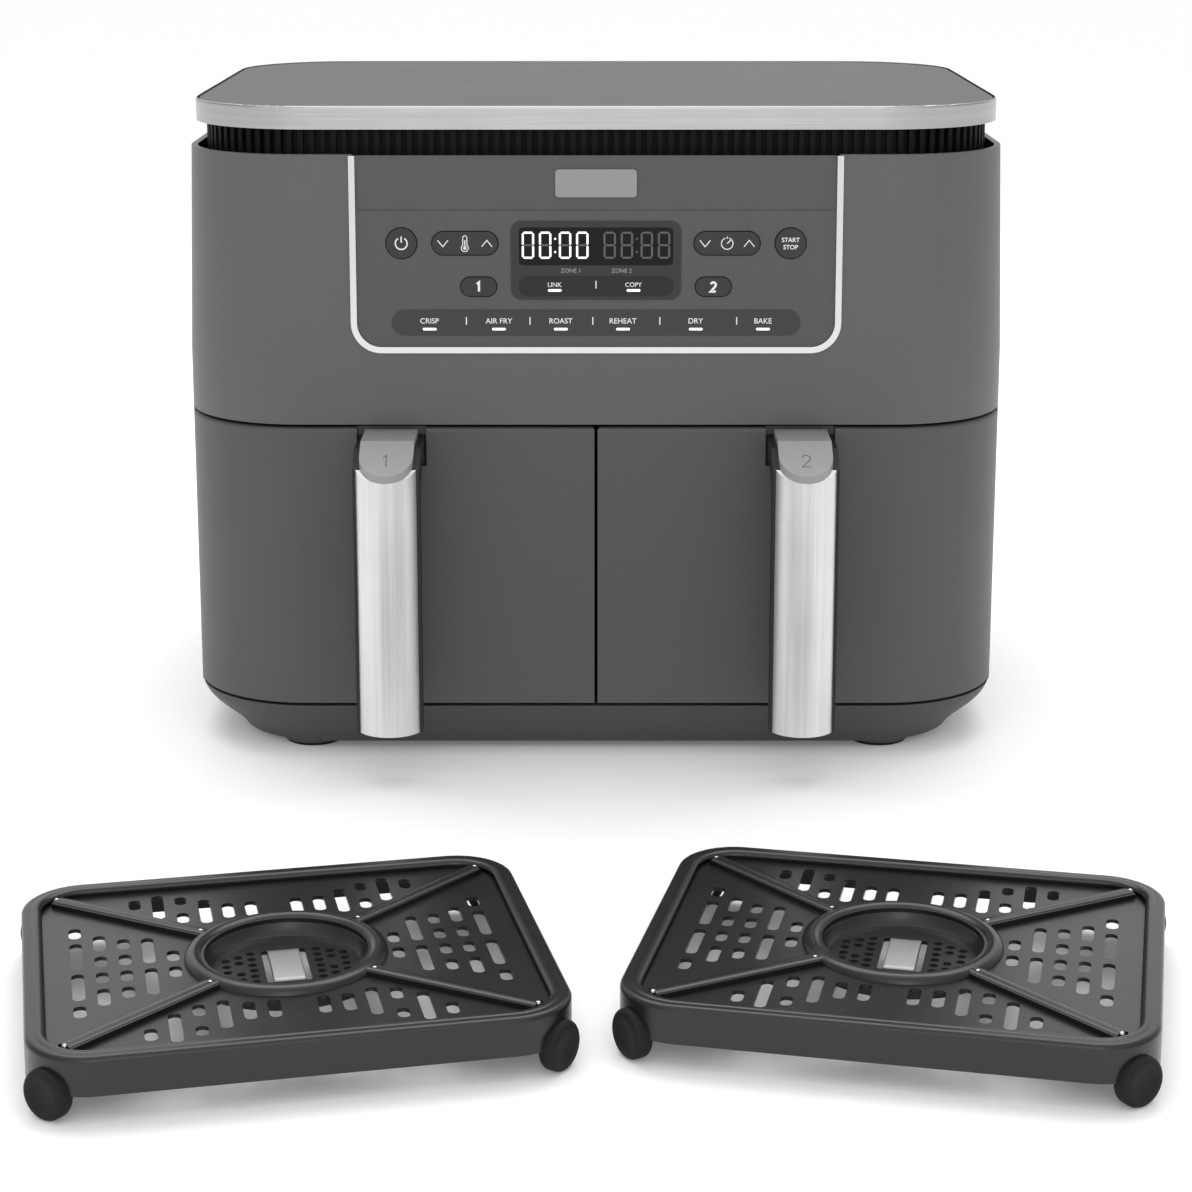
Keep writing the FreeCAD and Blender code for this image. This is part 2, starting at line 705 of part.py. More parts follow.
def lid_band():
    """The stainless band round the lid, with a lip over the insert's edge."""
    body = new_body("lid_band")
    pad(body, plan(body, "lid_bottom", LID_HALF_WIDTH, LID_HALF_DEPTH, "lid_corner"), "lid_height")
    top = value("lid_bottom + lid_height")
    soften(body, "band_wall / 1.5", lambda edge: level(edge, top))
    inner = plan(body, "lid_bottom", f"{LID_HALF_WIDTH} - band_wall", f"{LID_HALF_DEPTH} - band_wall",
                 "lid_corner - band_wall")
    pocket(body, inner, "lid_height - lid_inset_depth", forward=True)
    edge = "band_wall + band_lip"
    mouth = plan(body, "lid_bottom", f"{LID_HALF_WIDTH} - {edge}", f"{LID_HALF_DEPTH} - {edge}",
                 f"lid_corner - {edge}")
    pocket(body, mouth, "lid_height", forward=True)
    return node(body, "lid_band")


# --- control panel -----------------------------------------------------------------------

# Heights on the panel are measured up the leaning face from the crease, and depths run into
# the housing from that face.

def face_sketch(body, depth="0"):
    """A sketch on the panel's face, sunk by a depth."""
    return new_sketch(body, "XZ_Plane", f"-({depth})")


def panel_outline(sketch, growth):
    """The panel's outline, grown by a margin: rounded at the foot, square at the crown."""
    half = f"(panel_width / 2 + {growth})"
    radius = f"panel_corner + {growth}"
    return outline(sketch, f"-{half}", half, f"panel_foot - ({growth})", "panel_crown",
                   (radius, radius, None, None))


def panel_trim():
    """The chrome frame: a proud lip over the housing and a skirt in its opening."""
    body = new_body("panel_trim")
    for growth, depth, length in (("trim_width", "0", "trim_proud"),
                                  ("trim_skirt", "housing_wall", "housing_wall")):
        rim = panel_outline(face_sketch(body, depth), growth)
        pad(body, rim, length)
    inner = face_sketch(body, "housing_wall")
    outline(inner, "-panel_width / 2", "panel_width / 2", "panel_foot",
            f"panel_crown + {OUTSIDE}", ("panel_corner", "panel_corner", None, None))
    pocket(body, inner, "housing_wall + trim_proud + 1", forward=True)
    return node(lean(body), "panel_trim")


KEYS = {
    "power_key": ("round", "-round_key_x", "upper_row"),
    "start_stop_key": ("round", "round_key_x", "upper_row"),
    "temperature_key": ("rocker", "-rocker_x", "upper_row"),
    "time_key": ("rocker", "rocker_x", "upper_row"),
    "zone_1_key": ("zone", "-zone_key_x", "lower_row"),
    "zone_2_key": ("zone", "zone_key_x", "lower_row"),
}


def key_outline(sketch, shape, x, height, growth="0"):
    """A key's outline, grown by a margin for the hole it works in."""
    if shape == "round":
        return disc(sketch, x, height, f"round_key_radius + {growth}")
    return pill(sketch, x, height, f"({shape_width(shape)} + 2 * {growth})",
                f"({shape_height(shape)} + 2 * {growth})")


def shape_width(shape):
    """The size that sets a long key's width."""
    return "rocker_width" if shape == "rocker" else "zone_key_width"


def shape_height(shape):
    """The size that sets a long key's height."""
    return "rocker_height" if shape == "rocker" else "zone_key_height"


def control_panel():
    """The panel's plate, with a hole for each key, the display and the function strip."""
    body = new_body("control_panel")
    plate = face_sketch(body, "panel_thickness")
    outline(plate, "-panel_width / 2", "panel_width / 2", "panel_foot", "panel_head",
            ("panel_corner", "panel_corner", None, None))
    pad(body, plate, "panel_thickness")
    holes = face_sketch(body, f"-{OUTSIDE}")
    for shape, x, height in KEYS.values():
        key_outline(holes, shape, x, height, "key_clearance")
    centred(holes, "0", "display_row", "display_width", "display_height", "display_corner")
    pill(holes, "0", "function_row", "function_width", "function_height")
    pocket(body, holes, f"{OUTSIDE} * 2")
    posts = face_sketch(body, "board_setback")
    for x in ("-panel_width / 2 + 8", "panel_width / 2 - 8"):
        for height in ("panel_foot + 12", "panel_head - 8"):
            disc(posts, x, height, "shaft_radius")
    pad(body, posts, "board_setback - panel_thickness / 2")
    return node(lean(body), "control_panel")


def header_strip():
    """The darker strip above the panel, a little sunk."""
    body = new_body("header_strip")
    strip = face_sketch(body, "panel_thickness + header_recess")
    outline(strip, "-panel_width / 2", "panel_width / 2", "panel_head", "panel_crown")
    pad(body, strip, "panel_thickness")
    return node(lean(body), "header_strip")


def badge():
    """A blank badge on the header strip."""
    body = new_body("badge")
    middle = "(panel_head + panel_crown) / 2"
    sketch = face_sketch(body, "header_recess")
    centred(sketch, "0", middle, "badge_width", "badge_height", "badge_thickness * 2")
    pad(body, sketch, "badge_thickness")
    return node(lean(body), "badge")


def display_bezel():
    """The dark frame of the display, with a window above and a touch bar below."""
    body = new_body("display_bezel")
    frame = face_sketch(body, "panel_thickness")
    centred(frame, "0", "display_row", "display_width", "display_height", "display_corner")
    pad(body, frame, "panel_thickness + key_proud / 2")
    windows = face_sketch(body, f"-{OUTSIDE}")
    centred(windows, "0", LENS_ROW, "lens_width", "lens_height", "2")
    pill(windows, "0", TOUCH_ROW, "touch_width", "touch_height")
    pocket(body, windows, f"{OUTSIDE} * 2")
    return node(lean(body), "display_bezel")


LENS_ROW = "display_row + display_height / 2 - lens_height / 2 - 3"
TOUCH_ROW = "display_row - display_height / 2 + touch_height / 2 + 1.6"


def display_lens():
    """The window in front of the digits."""
    body = new_body("display_lens")
    sketch = face_sketch(body, "panel_thickness")
    centred(sketch, "0", LENS_ROW, "lens_width", "lens_height", "2")
    pad(body, sketch, "panel_thickness + key_proud / 4")
    return node(lean(body), "display_lens")


def touch_bar():
    """The touch bar that links the two zones."""
    body = new_body("touch_bar")
    sketch = face_sketch(body, "panel_thickness")
    pill(sketch, "0", TOUCH_ROW, "touch_width", "touch_height")
    pad(body, sketch, "panel_thickness + key_proud / 4")
    return node(lean(body), "touch_bar")


def function_strip():
    """The touch strip of six cooking functions."""
    body = new_body("function_strip")
    sketch = face_sketch(body, "panel_thickness")
    pill(sketch, "0", "function_row", "function_width", "function_height")
    pad(body, sketch, "panel_thickness + key_proud / 2")
    return node(lean(body), "function_strip")


def display_module():
    """The lit digits' block, between the lens and the board."""
    item = box("-lens_width / 2", "lens_width / 2", "panel_thickness", "board_setback",
               f"{LENS_ROW} - lens_height / 2", f"{LENS_ROW} + lens_height / 2")
    return node(lean(joined([item, box("-lens_width / 4", "lens_width / 4", "panel_thickness * 2",
                                       "board_setback", f"{TOUCH_ROW} - 3",
                                       f"{LENS_ROW}")])), "display_module")


def keys():
    """The six keys that move."""
    for name, (shape, x, height) in KEYS.items():
        body = new_body(name)
        sketch = key_outline(face_sketch(body, "panel_thickness"), shape, x, height)
        pad(body, sketch, "panel_thickness + key_proud")
        crown = value("key_proud")
        soften(body, "key_proud / 2", lambda edge: abs(edge.BoundBox.YMin + crown) < 1e-3
               and abs(edge.BoundBox.YMax + crown) < 1e-3)
        if shape == "rocker":
            pivot = post(x, "panel_thickness", f"{height} - zone_key_height / 2",
                         f"{height} + zone_key_height / 2", "pivot_radius")
            body = joined([body, pivot])
        node(lean(body), name)


def control_board():
    """The circuit board behind the panel."""
    item = box("-panel_width / 2 + 2", "panel_width / 2 - 2", "board_setback",
               "board_setback + board_thickness", "panel_foot + 4", "panel_head")
    return node(lean(joined([item, box("-20", "20", "board_setback", "board_setback + 6",
                                       "function_row - 5", "function_row + 8")])), "control_board")


def key_switches():
    """A tact switch with a plunger behind each key, two behind each rocker."""
    pieces = []
    for shape, x, height in KEYS.values():
        spots = [x] if shape != "rocker" else [f"{x} - rocker_width / 3", f"{x} + rocker_width / 3"]
        for spot in spots:
            can = box(f"{spot} - switch_size / 2", f"{spot} + switch_size / 2", "board_setback - 4",
                      "board_setback", f"{height} - switch_size / 2", f"{height} + switch_size / 2")
            plunger = pin(spot, "panel_thickness + switch_gap", "board_setback - 4", height,
                          "switch_size / 4")
            pieces.append(joined([can, plunger]))
    return node(lean(joined(pieces)), "key_switches")


# --- zones -------------------------------------------------------------------------------

LINER_FRONT = f"({WRAP_BACK} + drawer_gap)"
LINER_OUT = "(housing_width / 2 - housing_wall - liner_clearance)"
LINER_TOP = "(base_top + liner_height)"
BASKET_IN = "(divider_half + liner_wall + basket_gap)"
BASKET_OUT = f"({LINER_OUT} - liner_wall - basket_gap)"
BASKET_FRONT = f"({LINER_FRONT} - basket_lead)"
BASKET_BACK = f"({LINER_FRONT} + liner_depth - liner_wall - basket_rear_gap)"
BASKET_FLOOR = "(base_top + basket_lift)"
ZONE_Y = f"({BASKET_FRONT} + {BASKET_BACK}) / 2"


def zone_x(side):
    """The middle of a zone, left or right."""
    return f"{side} * ({BASKET_IN} + {BASKET_OUT}) / 2"


def span(side, inner, outer):
    """Two distances from the middle of the fryer as a low and a high X on one side."""
    return (f"{inner}", f"{outer}") if side > 0 else (f"-({outer})", f"-({inner})")


def cavity_liner(zone, side):
    """The steel liner that a drawer slides into, open at the front."""
    x0, x1 = span(side, "divider_half", LINER_OUT)
    back = f"{LINER_FRONT} + liner_depth"
    outer = box(x0, x1, LINER_FRONT, back, "base_top", LINER_TOP)
    inner = box(f"{x0} + liner_wall", f"{x1} - liner_wall", f"{LINER_FRONT} - 1",
                f"{back} - liner_wall", "base_top + liner_wall", f"{LINER_TOP} - liner_wall")
    holes = [post(zone_x(side), ZONE_Y, f"{LINER_TOP} - 5", f"{LINER_TOP} + 5", "shaft_radius * 2")]
    for lead in lead_spots(side):
        holes.append(post(*lead, f"{LINER_TOP} - 5", f"{LINER_TOP} + 5", "element_tube"))
    return node(cut(outer, [inner] + holes), f"cavity_liner_{zone}")


def lead_spots(side):
    """Where the heating element's two ends pass through the liner's top."""
    rise = f"{ZONE_Y} + sqrt(element_radius ^ 2 - 400)"
    return [(f"{zone_x(side)} - 20", rise), (f"{zone_x(side)} + 20", rise)]


def drawer_runners():
    """The runners under both baskets."""
    strips = []
    for side in ZONES.values():
        for inner in (f"{BASKET_IN} + 8", f"{BASKET_OUT} - 8 - runner_width"):
            x0, x1 = span(side, inner, f"({inner} + runner_width)")
            strips.append(box(x0, x1, f"{LINER_FRONT} + 2", f"{BASKET_BACK} - 2",
                              "base_top + liner_wall", f"{BASKET_FLOOR} - runner_gap"))
    return node(joined(strips), "drawer_runners")


def heating_element(zone, side):
    """A two-loop tubular element with its ends up through the liner."""
    x, height = zone_x(side), f"{LINER_TOP} - element_drop"
    pieces = [hoop(x, ZONE_Y, height, "element_radius", "element_tube"),
              hoop(x, ZONE_Y, height, "element_inner_radius", "element_tube")]
    pieces.append(bar(f"{x} + element_inner_radius", f"{x} + element_radius", ZONE_Y, height,
                      "element_tube * 0.8"))
    for lead in lead_spots(side):
        pieces.append(post(*lead, height, f"{LINER_TOP} + 8", "element_tube * 0.8"))
    return node(joined(pieces), f"heating_element_{zone}")


def element_guard(zone, side):
    """The wire guard between the element and the food."""
    x, height = zone_x(side), f"{LINER_TOP} - guard_drop"
    pieces = [hoop(x, ZONE_Y, height, f"guard_radius * {share}", "guard_wire")
              for share in (0.25, 0.5, 0.75, 1)]
    pieces.append(bar(f"{x} - guard_radius", f"{x} + guard_radius", ZONE_Y, height, "guard_wire"))
    pieces.append(pin(x, f"{ZONE_Y} - guard_radius", f"{ZONE_Y} + guard_radius", height, "guard_wire"))
    for spot in ((f"{x} - guard_radius", ZONE_Y), (f"{x} + guard_radius", ZONE_Y),
                 (x, f"{ZONE_Y} - guard_radius"), (x, f"{ZONE_Y} + guard_radius")):
        pieces.append(post(*spot, height, f"{LINER_TOP} - liner_wall", "guard_wire * 1.5"))
    return node(joined(pieces), f"element_guard_{zone}")


def blade_wheel(name, side, low, height, radius, hub, count):
    """A hub with straight blades round it, about the zone's upright axis."""
    body = new_body(name)
    core = new_sketch(body, "XY_Plane", low)
    disc(core, "0", "0", hub)
    pad(body, core, height)
    blade = new_sketch(body, "XY_Plane", low)
    outline(blade, f"{hub} / 2", radius, "-blade_thickness / 2", "blade_thickness / 2")
    first = pad(body, blade, height)
    doc.recompute()
    pattern = body.newObject("PartDesign::PolarPattern", "Blades")
    pattern.Originals = [first]
    pattern.Axis = (blade, ["N_Axis"])
    pattern.Angle = 360
    pattern.Occurrences = count
    body.Tip = pattern
    bind(body, Placement__Base__x=zone_x(side), Placement__Base__y=ZONE_Y)
    return body


MOTOR_BASE = f"({LINER_TOP} + motor_lift)"
MOTOR_TOP = f"({MOTOR_BASE} + motor_height)"
COOLING_BASE = f"({MOTOR_TOP} + air_gap)"


def fan_rotor(zone, side):
    """The hot-air impeller and the shaft that carries it."""
    low = f"{LINER_TOP} - liner_wall - rotor_drop"
    wheel = blade_wheel(f"rotor_{zone}", side, low, "rotor_height", "rotor_radius", "rotor_hub", 8)
    shaft = post(zone_x(side), ZONE_Y, f"{low} + 1", f"{COOLING_BASE} + cooling_height + 2",
                 "shaft_radius")
    return node(joined([wheel, shaft]), f"fan_rotor_{zone}")


def cooling_fan(zone, side):
    """The cooling fan pressed on the shaft's upper end."""
    wheel = blade_wheel(f"cooler_{zone}", side, COOLING_BASE, "cooling_height",
                        "cooling_radius - air_gap", "rotor_hub", 6)
    bore = post(zone_x(side), ZONE_Y, f"{COOLING_BASE} - 1", f"{COOLING_BASE} + cooling_height + 1",
                "shaft_radius")
    return node(cut(wheel, [bore]), f"cooling_fan_{zone}")


def fan_motor(zone, side):
    """The motor on its three legs above the liner."""
    x = zone_x(side)
    pieces = [post(x, ZONE_Y, MOTOR_BASE, MOTOR_TOP, "motor_radius")]
    for angle in (90, 210, 330):
        spot = (f"{x} + motor_radius * 0.75 * {math.cos(math.radians(angle)):.4f}",
                f"{ZONE_Y} + motor_radius * 0.75 * {math.sin(math.radians(angle)):.4f}")
        pieces.append(post(*spot, LINER_TOP, f"{MOTOR_BASE} + 1", "shaft_radius"))
    bore = post(x, ZONE_Y, f"{MOTOR_BASE} - 1", f"{MOTOR_TOP} + 1", "shaft_radius + shaft_clearance")
    return node(cut(joined(pieces), [bore]), f"fan_motor_{zone}")


def temperature_probes():
    """A probe through the rear of each liner's top."""
    probes = []
    for side in ZONES.values():
        spot = (f"{zone_x(side)}", f"{LINER_FRONT} + liner_depth - 12")
        probes.append(joined([post(*spot, LINER_TOP, f"{LINER_TOP} + 8", "5"),
                              post(*spot, f"{LINER_TOP} + 7", f"{LINER_TOP} + 14", "shaft_radius")]))
    return node(joined(probes), "temperature_probes")


def interlock_switches():
    """A switch above each drawer front that senses it shut."""
    switches = []
    for side in ZONES.values():
        x = f"{side} * handle_x"
        front = f"-{HALF_DEPTH} + housing_wall"
        can = box(f"{x} - 10", f"{x} + 10", front, f"{front} + 14", f"{DRAWER_ROOF} + 3",
                  f"{DRAWER_ROOF} + 15")
        plunger = post(x, f"{front} + 7", f"{DRAWER_ROOF} - drawer_gap / 2", f"{DRAWER_ROOF} + 4", "1.5")
        switches.append(joined([can, plunger]))
    return node(joined(switches), "interlock_switches")


def power_board():
    """The power board on stand-offs at the rear wall."""
    back = f"{HALF_DEPTH} - housing_wall"
    pieces = [box("-55", "55", f"{back} - 14", f"{back} - 14 + board_thickness", "50", "110")]
    for x in ("-48", "48"):
        for height in ("57", "103"):
            pieces.append(pin(x, f"{back} - 13", back, height, "shaft_radius"))
    for x, width, height in ((-40, 22, 70), (-8, 16, 88), (24, 26, 72)):
        pieces.append(box(f"{x}", f"{x + width}", f"{back} - 32", f"{back} - 13", f"{height - 10}",
                          f"{height + 12}"))
    return node(joined(pieces), "power_board")


# --- drawers -----------------------------------------------------------------------------

FRONT_Y = f"(-{HALF_DEPTH})"
DRAWER_TOP = "(base_top + drawer_opening - drawer_gap)"
DRAWER_FOOT = "(base_top + drawer_gap)"


def drawer_front(zone, side):
    """A drawer's front: a tray that wraps the housing's corner, notched for its handle."""
    body = new_body(f"drawer_front_{zone}")
    wraps = (None, "corner_radius", None, None) if side > 0 else ("corner_radius", None, None, None)
    inner_wraps = tuple(None if radius is None else "corner_radius - front_wall" for radius in wraps)
    x0, x1 = span(side, "drawer_gap / 2", HALF_WIDTH)
    outer = new_sketch(body, "XY_Plane", DRAWER_FOOT)
    outline(outer, x0, x1, FRONT_Y, "0", wraps)
    pad(body, outer, f"{DRAWER_TOP} - {DRAWER_FOOT}")
    back = new_sketch(body, "XY_Plane", DRAWER_TOP)
    outline(back, f"-{HALF_WIDTH} - {OUTSIDE}", f"{HALF_WIDTH} + {OUTSIDE}", WRAP_BACK, OUTSIDE)
    pocket(body, back, f"{DRAWER_TOP} - {DRAWER_FOOT}")
    hollow = new_sketch(body, "XY_Plane", f"{DRAWER_TOP} - front_wall")
    outline(hollow, f"{x0} + front_wall", f"{x1} - front_wall", f"{FRONT_Y} + front_wall", "0",
            inner_wraps)
    pocket(body, hollow, f"{DRAWER_TOP} - {DRAWER_FOOT} - 2 * front_wall")
    crown = value(DRAWER_TOP)
    front_line = value(FRONT_Y)
    wrap_line = value(WRAP_BACK)
    soften(body, "front_edge", lambda edge: level(edge, crown) and edge.BoundBox.YMin < wrap_line - 1
           and min(edge.BoundBox.YMin - front_line, outer_reach(edge)) < 1e-3)
    notch = new_sketch(body, "XY_Plane", f"{DRAWER_TOP} + 1")
    wide = "grip_width + 2 * notch_clearance"
    centred(notch, f"{side} * handle_x", f"{FRONT_Y}", wide, "front_wall * 2")
    pocket(body, notch, "arm_depth + cap_step * 2 + 5")
    bosses = new_sketch(body, "XZ_Plane", f"-({BASKET_FRONT})")
    for offset in ("-boss_spacing / 2", "boss_spacing / 2"):
        disc(bosses, f"{zone_x(side)} + {offset}", "boss_height", "boss_radius")
    pad(body, bosses, f"{BASKET_FRONT} - {FRONT_Y} - front_wall / 2")
    holes = new_sketch(body, "XZ_Plane", f"-({BASKET_FRONT})")
    for offset in ("-boss_spacing / 2", "boss_spacing / 2"):
        disc(holes, f"{zone_x(side)} + {offset}", "boss_height", "screw_radius + hole_clearance")
    pocket(body, holes, "screw_length + 2", forward=True)
    return node(body, f"drawer_front_{zone}")


def outer_reach(edge):
    """How far an edge's ends lie inside the housing's outer outline."""
    radius = value("corner_radius")
    reach = 0.0
    for spot in (edge.valueAt(edge.FirstParameter), edge.valueAt(edge.LastParameter)):
        over_x = max(abs(spot.x) - (value(HALF_WIDTH) - radius), 0.0)
        over_y = max(abs(spot.y) - (value(HALF_DEPTH) - radius), 0.0)
        reach = max(reach, abs(math.hypot(over_x, over_y) - radius))
    return reach


def basket(zone, side):
    """A drawer's tub, rounded below, with a rim and two screw holes in its front."""
    body = new_body(f"basket_{zone}")
    x0, x1 = span(side, BASKET_IN, BASKET_OUT)
    tub = new_sketch(body, "XY_Plane", BASKET_FLOOR)
    outline(tub, x0, x1, BASKET_FRONT, BASKET_BACK, ("basket_corner",) * 4)
    pad(body, tub, "basket_height")
    rim = new_sketch(body, "XY_Plane", f"{BASKET_FLOOR} + basket_height - basket_wall")
    outline(rim, f"{x0} - basket_flange", f"{x1} + basket_flange", f"{BASKET_FRONT} - basket_flange",
            f"{BASKET_BACK} + basket_flange", ("basket_corner + basket_flange",) * 4)
    pad(body, rim, "basket_wall")
    mouth = new_sketch(body, "XY_Plane", f"{BASKET_FLOOR} + basket_height")
    outline(mouth, f"{x0} + basket_wall", f"{x1} - basket_wall", f"{BASKET_FRONT} + basket_wall",
            f"{BASKET_BACK} - basket_wall", ("basket_corner - basket_wall",) * 4)
    pocket(body, mouth, "basket_height - basket_wall")
    inside, floor = value(f"{BASKET_FLOOR} + basket_wall"), value(BASKET_FLOOR)
    soften(body, "basket_round - basket_wall", lambda edge: level(edge, inside))
    soften(body, "basket_round", lambda edge: level(edge, floor))
    holes = new_sketch(body, "XZ_Plane", f"-({BASKET_FRONT}) + 2")
    for offset in ("-boss_spacing / 2", "boss_spacing / 2"):
        disc(holes, f"{zone_x(side)} + {offset}", "boss_height", "screw_radius + hole_clearance")
    pocket(body, holes, "basket_wall + 4")
    return node(body, f"basket_{zone}")


def basket_screws(zone, side):
    """The screws that hold a basket to its front."""
    screws = []
    for offset in ("-boss_spacing / 2", "boss_spacing / 2"):
        x = f"{zone_x(side)} + {offset}"
        seat = f"{BASKET_FRONT} + basket_wall"
        head = pin(x, seat, f"{seat} + screw_radius", "boss_height", "screw_head")
        shank = pin(x, f"{seat} - screw_length", f"{seat} + screw_radius / 2", "boss_height",
                    "screw_radius")
        screws.append(joined([head, shank]))
    return node(joined(screws), f"basket_screws_{zone}")


TIP_Y = f"({FRONT_Y} - handle_reach)"
SEAT_Y = f"({TIP_Y} + cover_bulge)"
GRIP_Y = f"({SEAT_Y} + grip_depth)"
CAP_Z = f"({DRAWER_TOP} - cap_step)"
BEND_Y = f"({FRONT_Y} - cap_flat)"
CAP_SLOPE = f"(cap_drop / ({BEND_Y} - {TIP_Y}))"
ARM_Z = f"({CAP_Z} - cap_thickness)"
PALM_Z = f"({ARM_Z} - arm_depth)"
ROOT_Y = f"({FRONT_Y} + front_wall)"


def under_cap(y):
    """The height of the cap's underside at a place beyond its bend."""
    return f"{ARM_Z} - ({BEND_Y} - {y}) * {CAP_SLOPE}"


def handle_core(zone, side):
    """The black core: a root inside the front, an arm through the notch and a hanging grip."""
    body = new_body(f"handle_core_{zone}")
    profile = new_sketch(body, "YZ_Plane", f"{side} * handle_x")
    polygon(profile, [(f"{ROOT_Y} + front_wall", ARM_Z), (BEND_Y, ARM_Z),
                      (SEAT_Y, under_cap(SEAT_Y)), (SEAT_Y, "handle_bottom"),
                      (GRIP_Y, "handle_bottom"), (GRIP_Y, PALM_Z),
                      (f"{ROOT_Y} + front_wall", PALM_Z)])
    pad(body, profile, "grip_width", both_ways=True)
    grip, palm = value(GRIP_Y), value(PALM_Z)
    soften(body, "arm_round", lambda edge: abs(edge.BoundBox.YMin - grip) < 1e-3
           and abs(edge.BoundBox.YMax - grip) < 1e-3 and level(edge, palm))
    foot = value("handle_bottom")
    tall = value(PALM_Z) - foot - value("arm_round") - 1
    soften(body, "grip_round", lambda edge: edge.BoundBox.ZLength > tall
           and edge.BoundBox.XLength < 1e-3 and edge.BoundBox.YLength < 1e-3
           and abs(edge.BoundBox.YMin - grip) < 1e-3)
    root = new_sketch(body, "XZ_Plane", f"-({ROOT_Y})")
    outline(root, f"{side} * handle_x - grip_width * 0.7", f"{side} * handle_x + grip_width * 0.7",
            f"{PALM_Z} - 25", f"{DRAWER_TOP} - front_wall")
    flange = pad(body, root, "front_wall")
    flange.Reversed = True
    return node(body, f"handle_core_{zone}")


def bulged(sketch, side):
    """The D-shaped plan of the handle's steel cover."""
    half, bulge = value("cover_width / 2"), value("cover_bulge")
    radius = (half ** 2 + bulge ** 2) / (2 * bulge)
    middle, seat = value(f"{side} * handle_x"), value(SEAT_Y)
    centre = FreeCAD.Vector(middle, seat - bulge + radius, 0)
    reach = math.atan2(half, radius - bulge)
    chord = sketch.addGeometry(Part.LineSegment(FreeCAD.Vector(middle - half, seat, 0),
                                                FreeCAD.Vector(middle + half, seat, 0)), False)
    circle = Part.Circle(centre, FreeCAD.Vector(0, 0, 1), radius)
    arc = sketch.addGeometry(Part.ArcOfCircle(circle, -math.pi / 2 - reach, -math.pi / 2 + reach), False)
    sketch.addConstraint(Sketcher.Constraint("Coincident", chord, 1, arc, 1))
    sketch.addConstraint(Sketcher.Constraint("Coincident", chord, 2, arc, 2))
    sketch.addConstraint(Sketcher.Constraint("Horizontal", chord))
    hold(sketch, "seat", Sketcher.Constraint("DistanceY", -1, 1, chord, 1, seat), SEAT_Y)
    hold(sketch, "left", Sketcher.Constraint("DistanceX", -1, 1, chord, 1, middle - half),
         f"{side} * handle_x - cover_width / 2")
    hold(sketch, "width", Sketcher.Constraint("DistanceX", chord, 1, chord, 2, 2 * half), "cover_width")
    hold(sketch, "bow", Sketcher.Constraint("Radius", arc, radius),
         "(cover_width ^ 2 / 4 + cover_bulge ^ 2) / (2 * cover_bulge)")
    return sketch


def handle_cover(zone, side):
    """The brushed steel cover on the front of the grip."""
    body = new_body(f"handle_cover_{zone}")
    section = bulged(new_sketch(body, "XY_Plane", "handle_bottom"), side)
    pad(body, section, f"{ARM_Z} - handle_bottom")
    slope = new_sketch(body, "YZ_Plane", f"{side} * handle_x")
    polygon(slope, [(BEND_Y, f"{ARM_Z}"), (BEND_Y, f"{ARM_Z} + {OUTSIDE}"),
                    (f"{TIP_Y} - {OUTSIDE}", f"{ARM_Z} + {OUTSIDE}"),
                    (f"{TIP_Y} - {OUTSIDE}", under_cap(f"({TIP_Y} - {OUTSIDE})"))])
    pocket(body, slope, "cover_width * 2", both_ways=True)
    return node(body, f"handle_cover_{zone}")


def handle_cap(zone, side):
    """The light cap along the handle's top, flat and then sloping to a round end."""
    body = new_body(f"handle_cap_{zone}")
    profile = new_sketch(body, "YZ_Plane", f"{side} * handle_x")
    step = "(cap_thickness)"
    polygon(profile, [(f"{FRONT_Y} + front_wall / 2", CAP_Z), (BEND_Y, CAP_Z),
                      (TIP_Y, f"{under_cap(TIP_Y)} + {step}"), (TIP_Y, under_cap(TIP_Y)),
                      (BEND_Y, ARM_Z), (f"{FRONT_Y} + front_wall / 2", ARM_Z)])
    pad(body, profile, "cap_width", both_ways=True)
    tip = new_sketch(body, "XY_Plane", f"{CAP_Z} + {OUTSIDE}")
    middle = f"{side} * handle_x"
    outline(tip, f"{middle} - cap_width", f"{middle} + cap_width", f"{TIP_Y} - {OUTSIDE}",
            f"{FRONT_Y} + {OUTSIDE}")
    outline(tip, f"{middle} - cap_width / 2", f"{middle} + cap_width / 2", TIP_Y,
            f"{FRONT_Y} + front_wall", ("cap_width / 2 - 0.01", "cap_width / 2 - 0.01", None, None))
    pocket(body, tip, f"{OUTSIDE} * 2 + cap_drop + cap_thickness")
    return node(body, f"handle_cap_{zone}")


# --- crisper plates ----------------------------------------------------------------------

# The slots of one quarter of a plate: each column lists its slots from the long middle line
# outwards. The first set runs towards the short sides, the second along the long sides.

END_COLUMNS = (("short",), ("long",), ("short", "short"), ("short", "medium"), ("long", "short"))
SIDE_COLUMNS = (("medium", 0), ("medium", 0), ("long", 1), ("short", -4), ("long", 9), ("short", 13))


def plate_slots(sketch):
    """Draw one quarter's slots."""
    for column, slots in enumerate(END_COLUMNS):
        x = f"first_column + slot_pitch * {column}"
        low = "slot_gap / 2"
        for name in slots:
            pill(sketch, x, f"{low} + {name}_slot / 2", "slot_width", f"{name}_slot")
            low = f"{low} + {name}_slot + slot_gap"
    for column, (name, shift) in enumerate(SIDE_COLUMNS):
        x = f"slot_pitch * ({column} + 1)"
        pill(sketch, x, f"ring_radius + slot_gap / 2 + medium_slot / 2 + ({shift})", "slot_width",
             f"{name}_slot")
    pill(sketch, "slot_pitch * 4", "ring_radius + medium_slot + slot_gap * 1.7", "slot_width",
         "short_slot * 0.8")
    return sketch


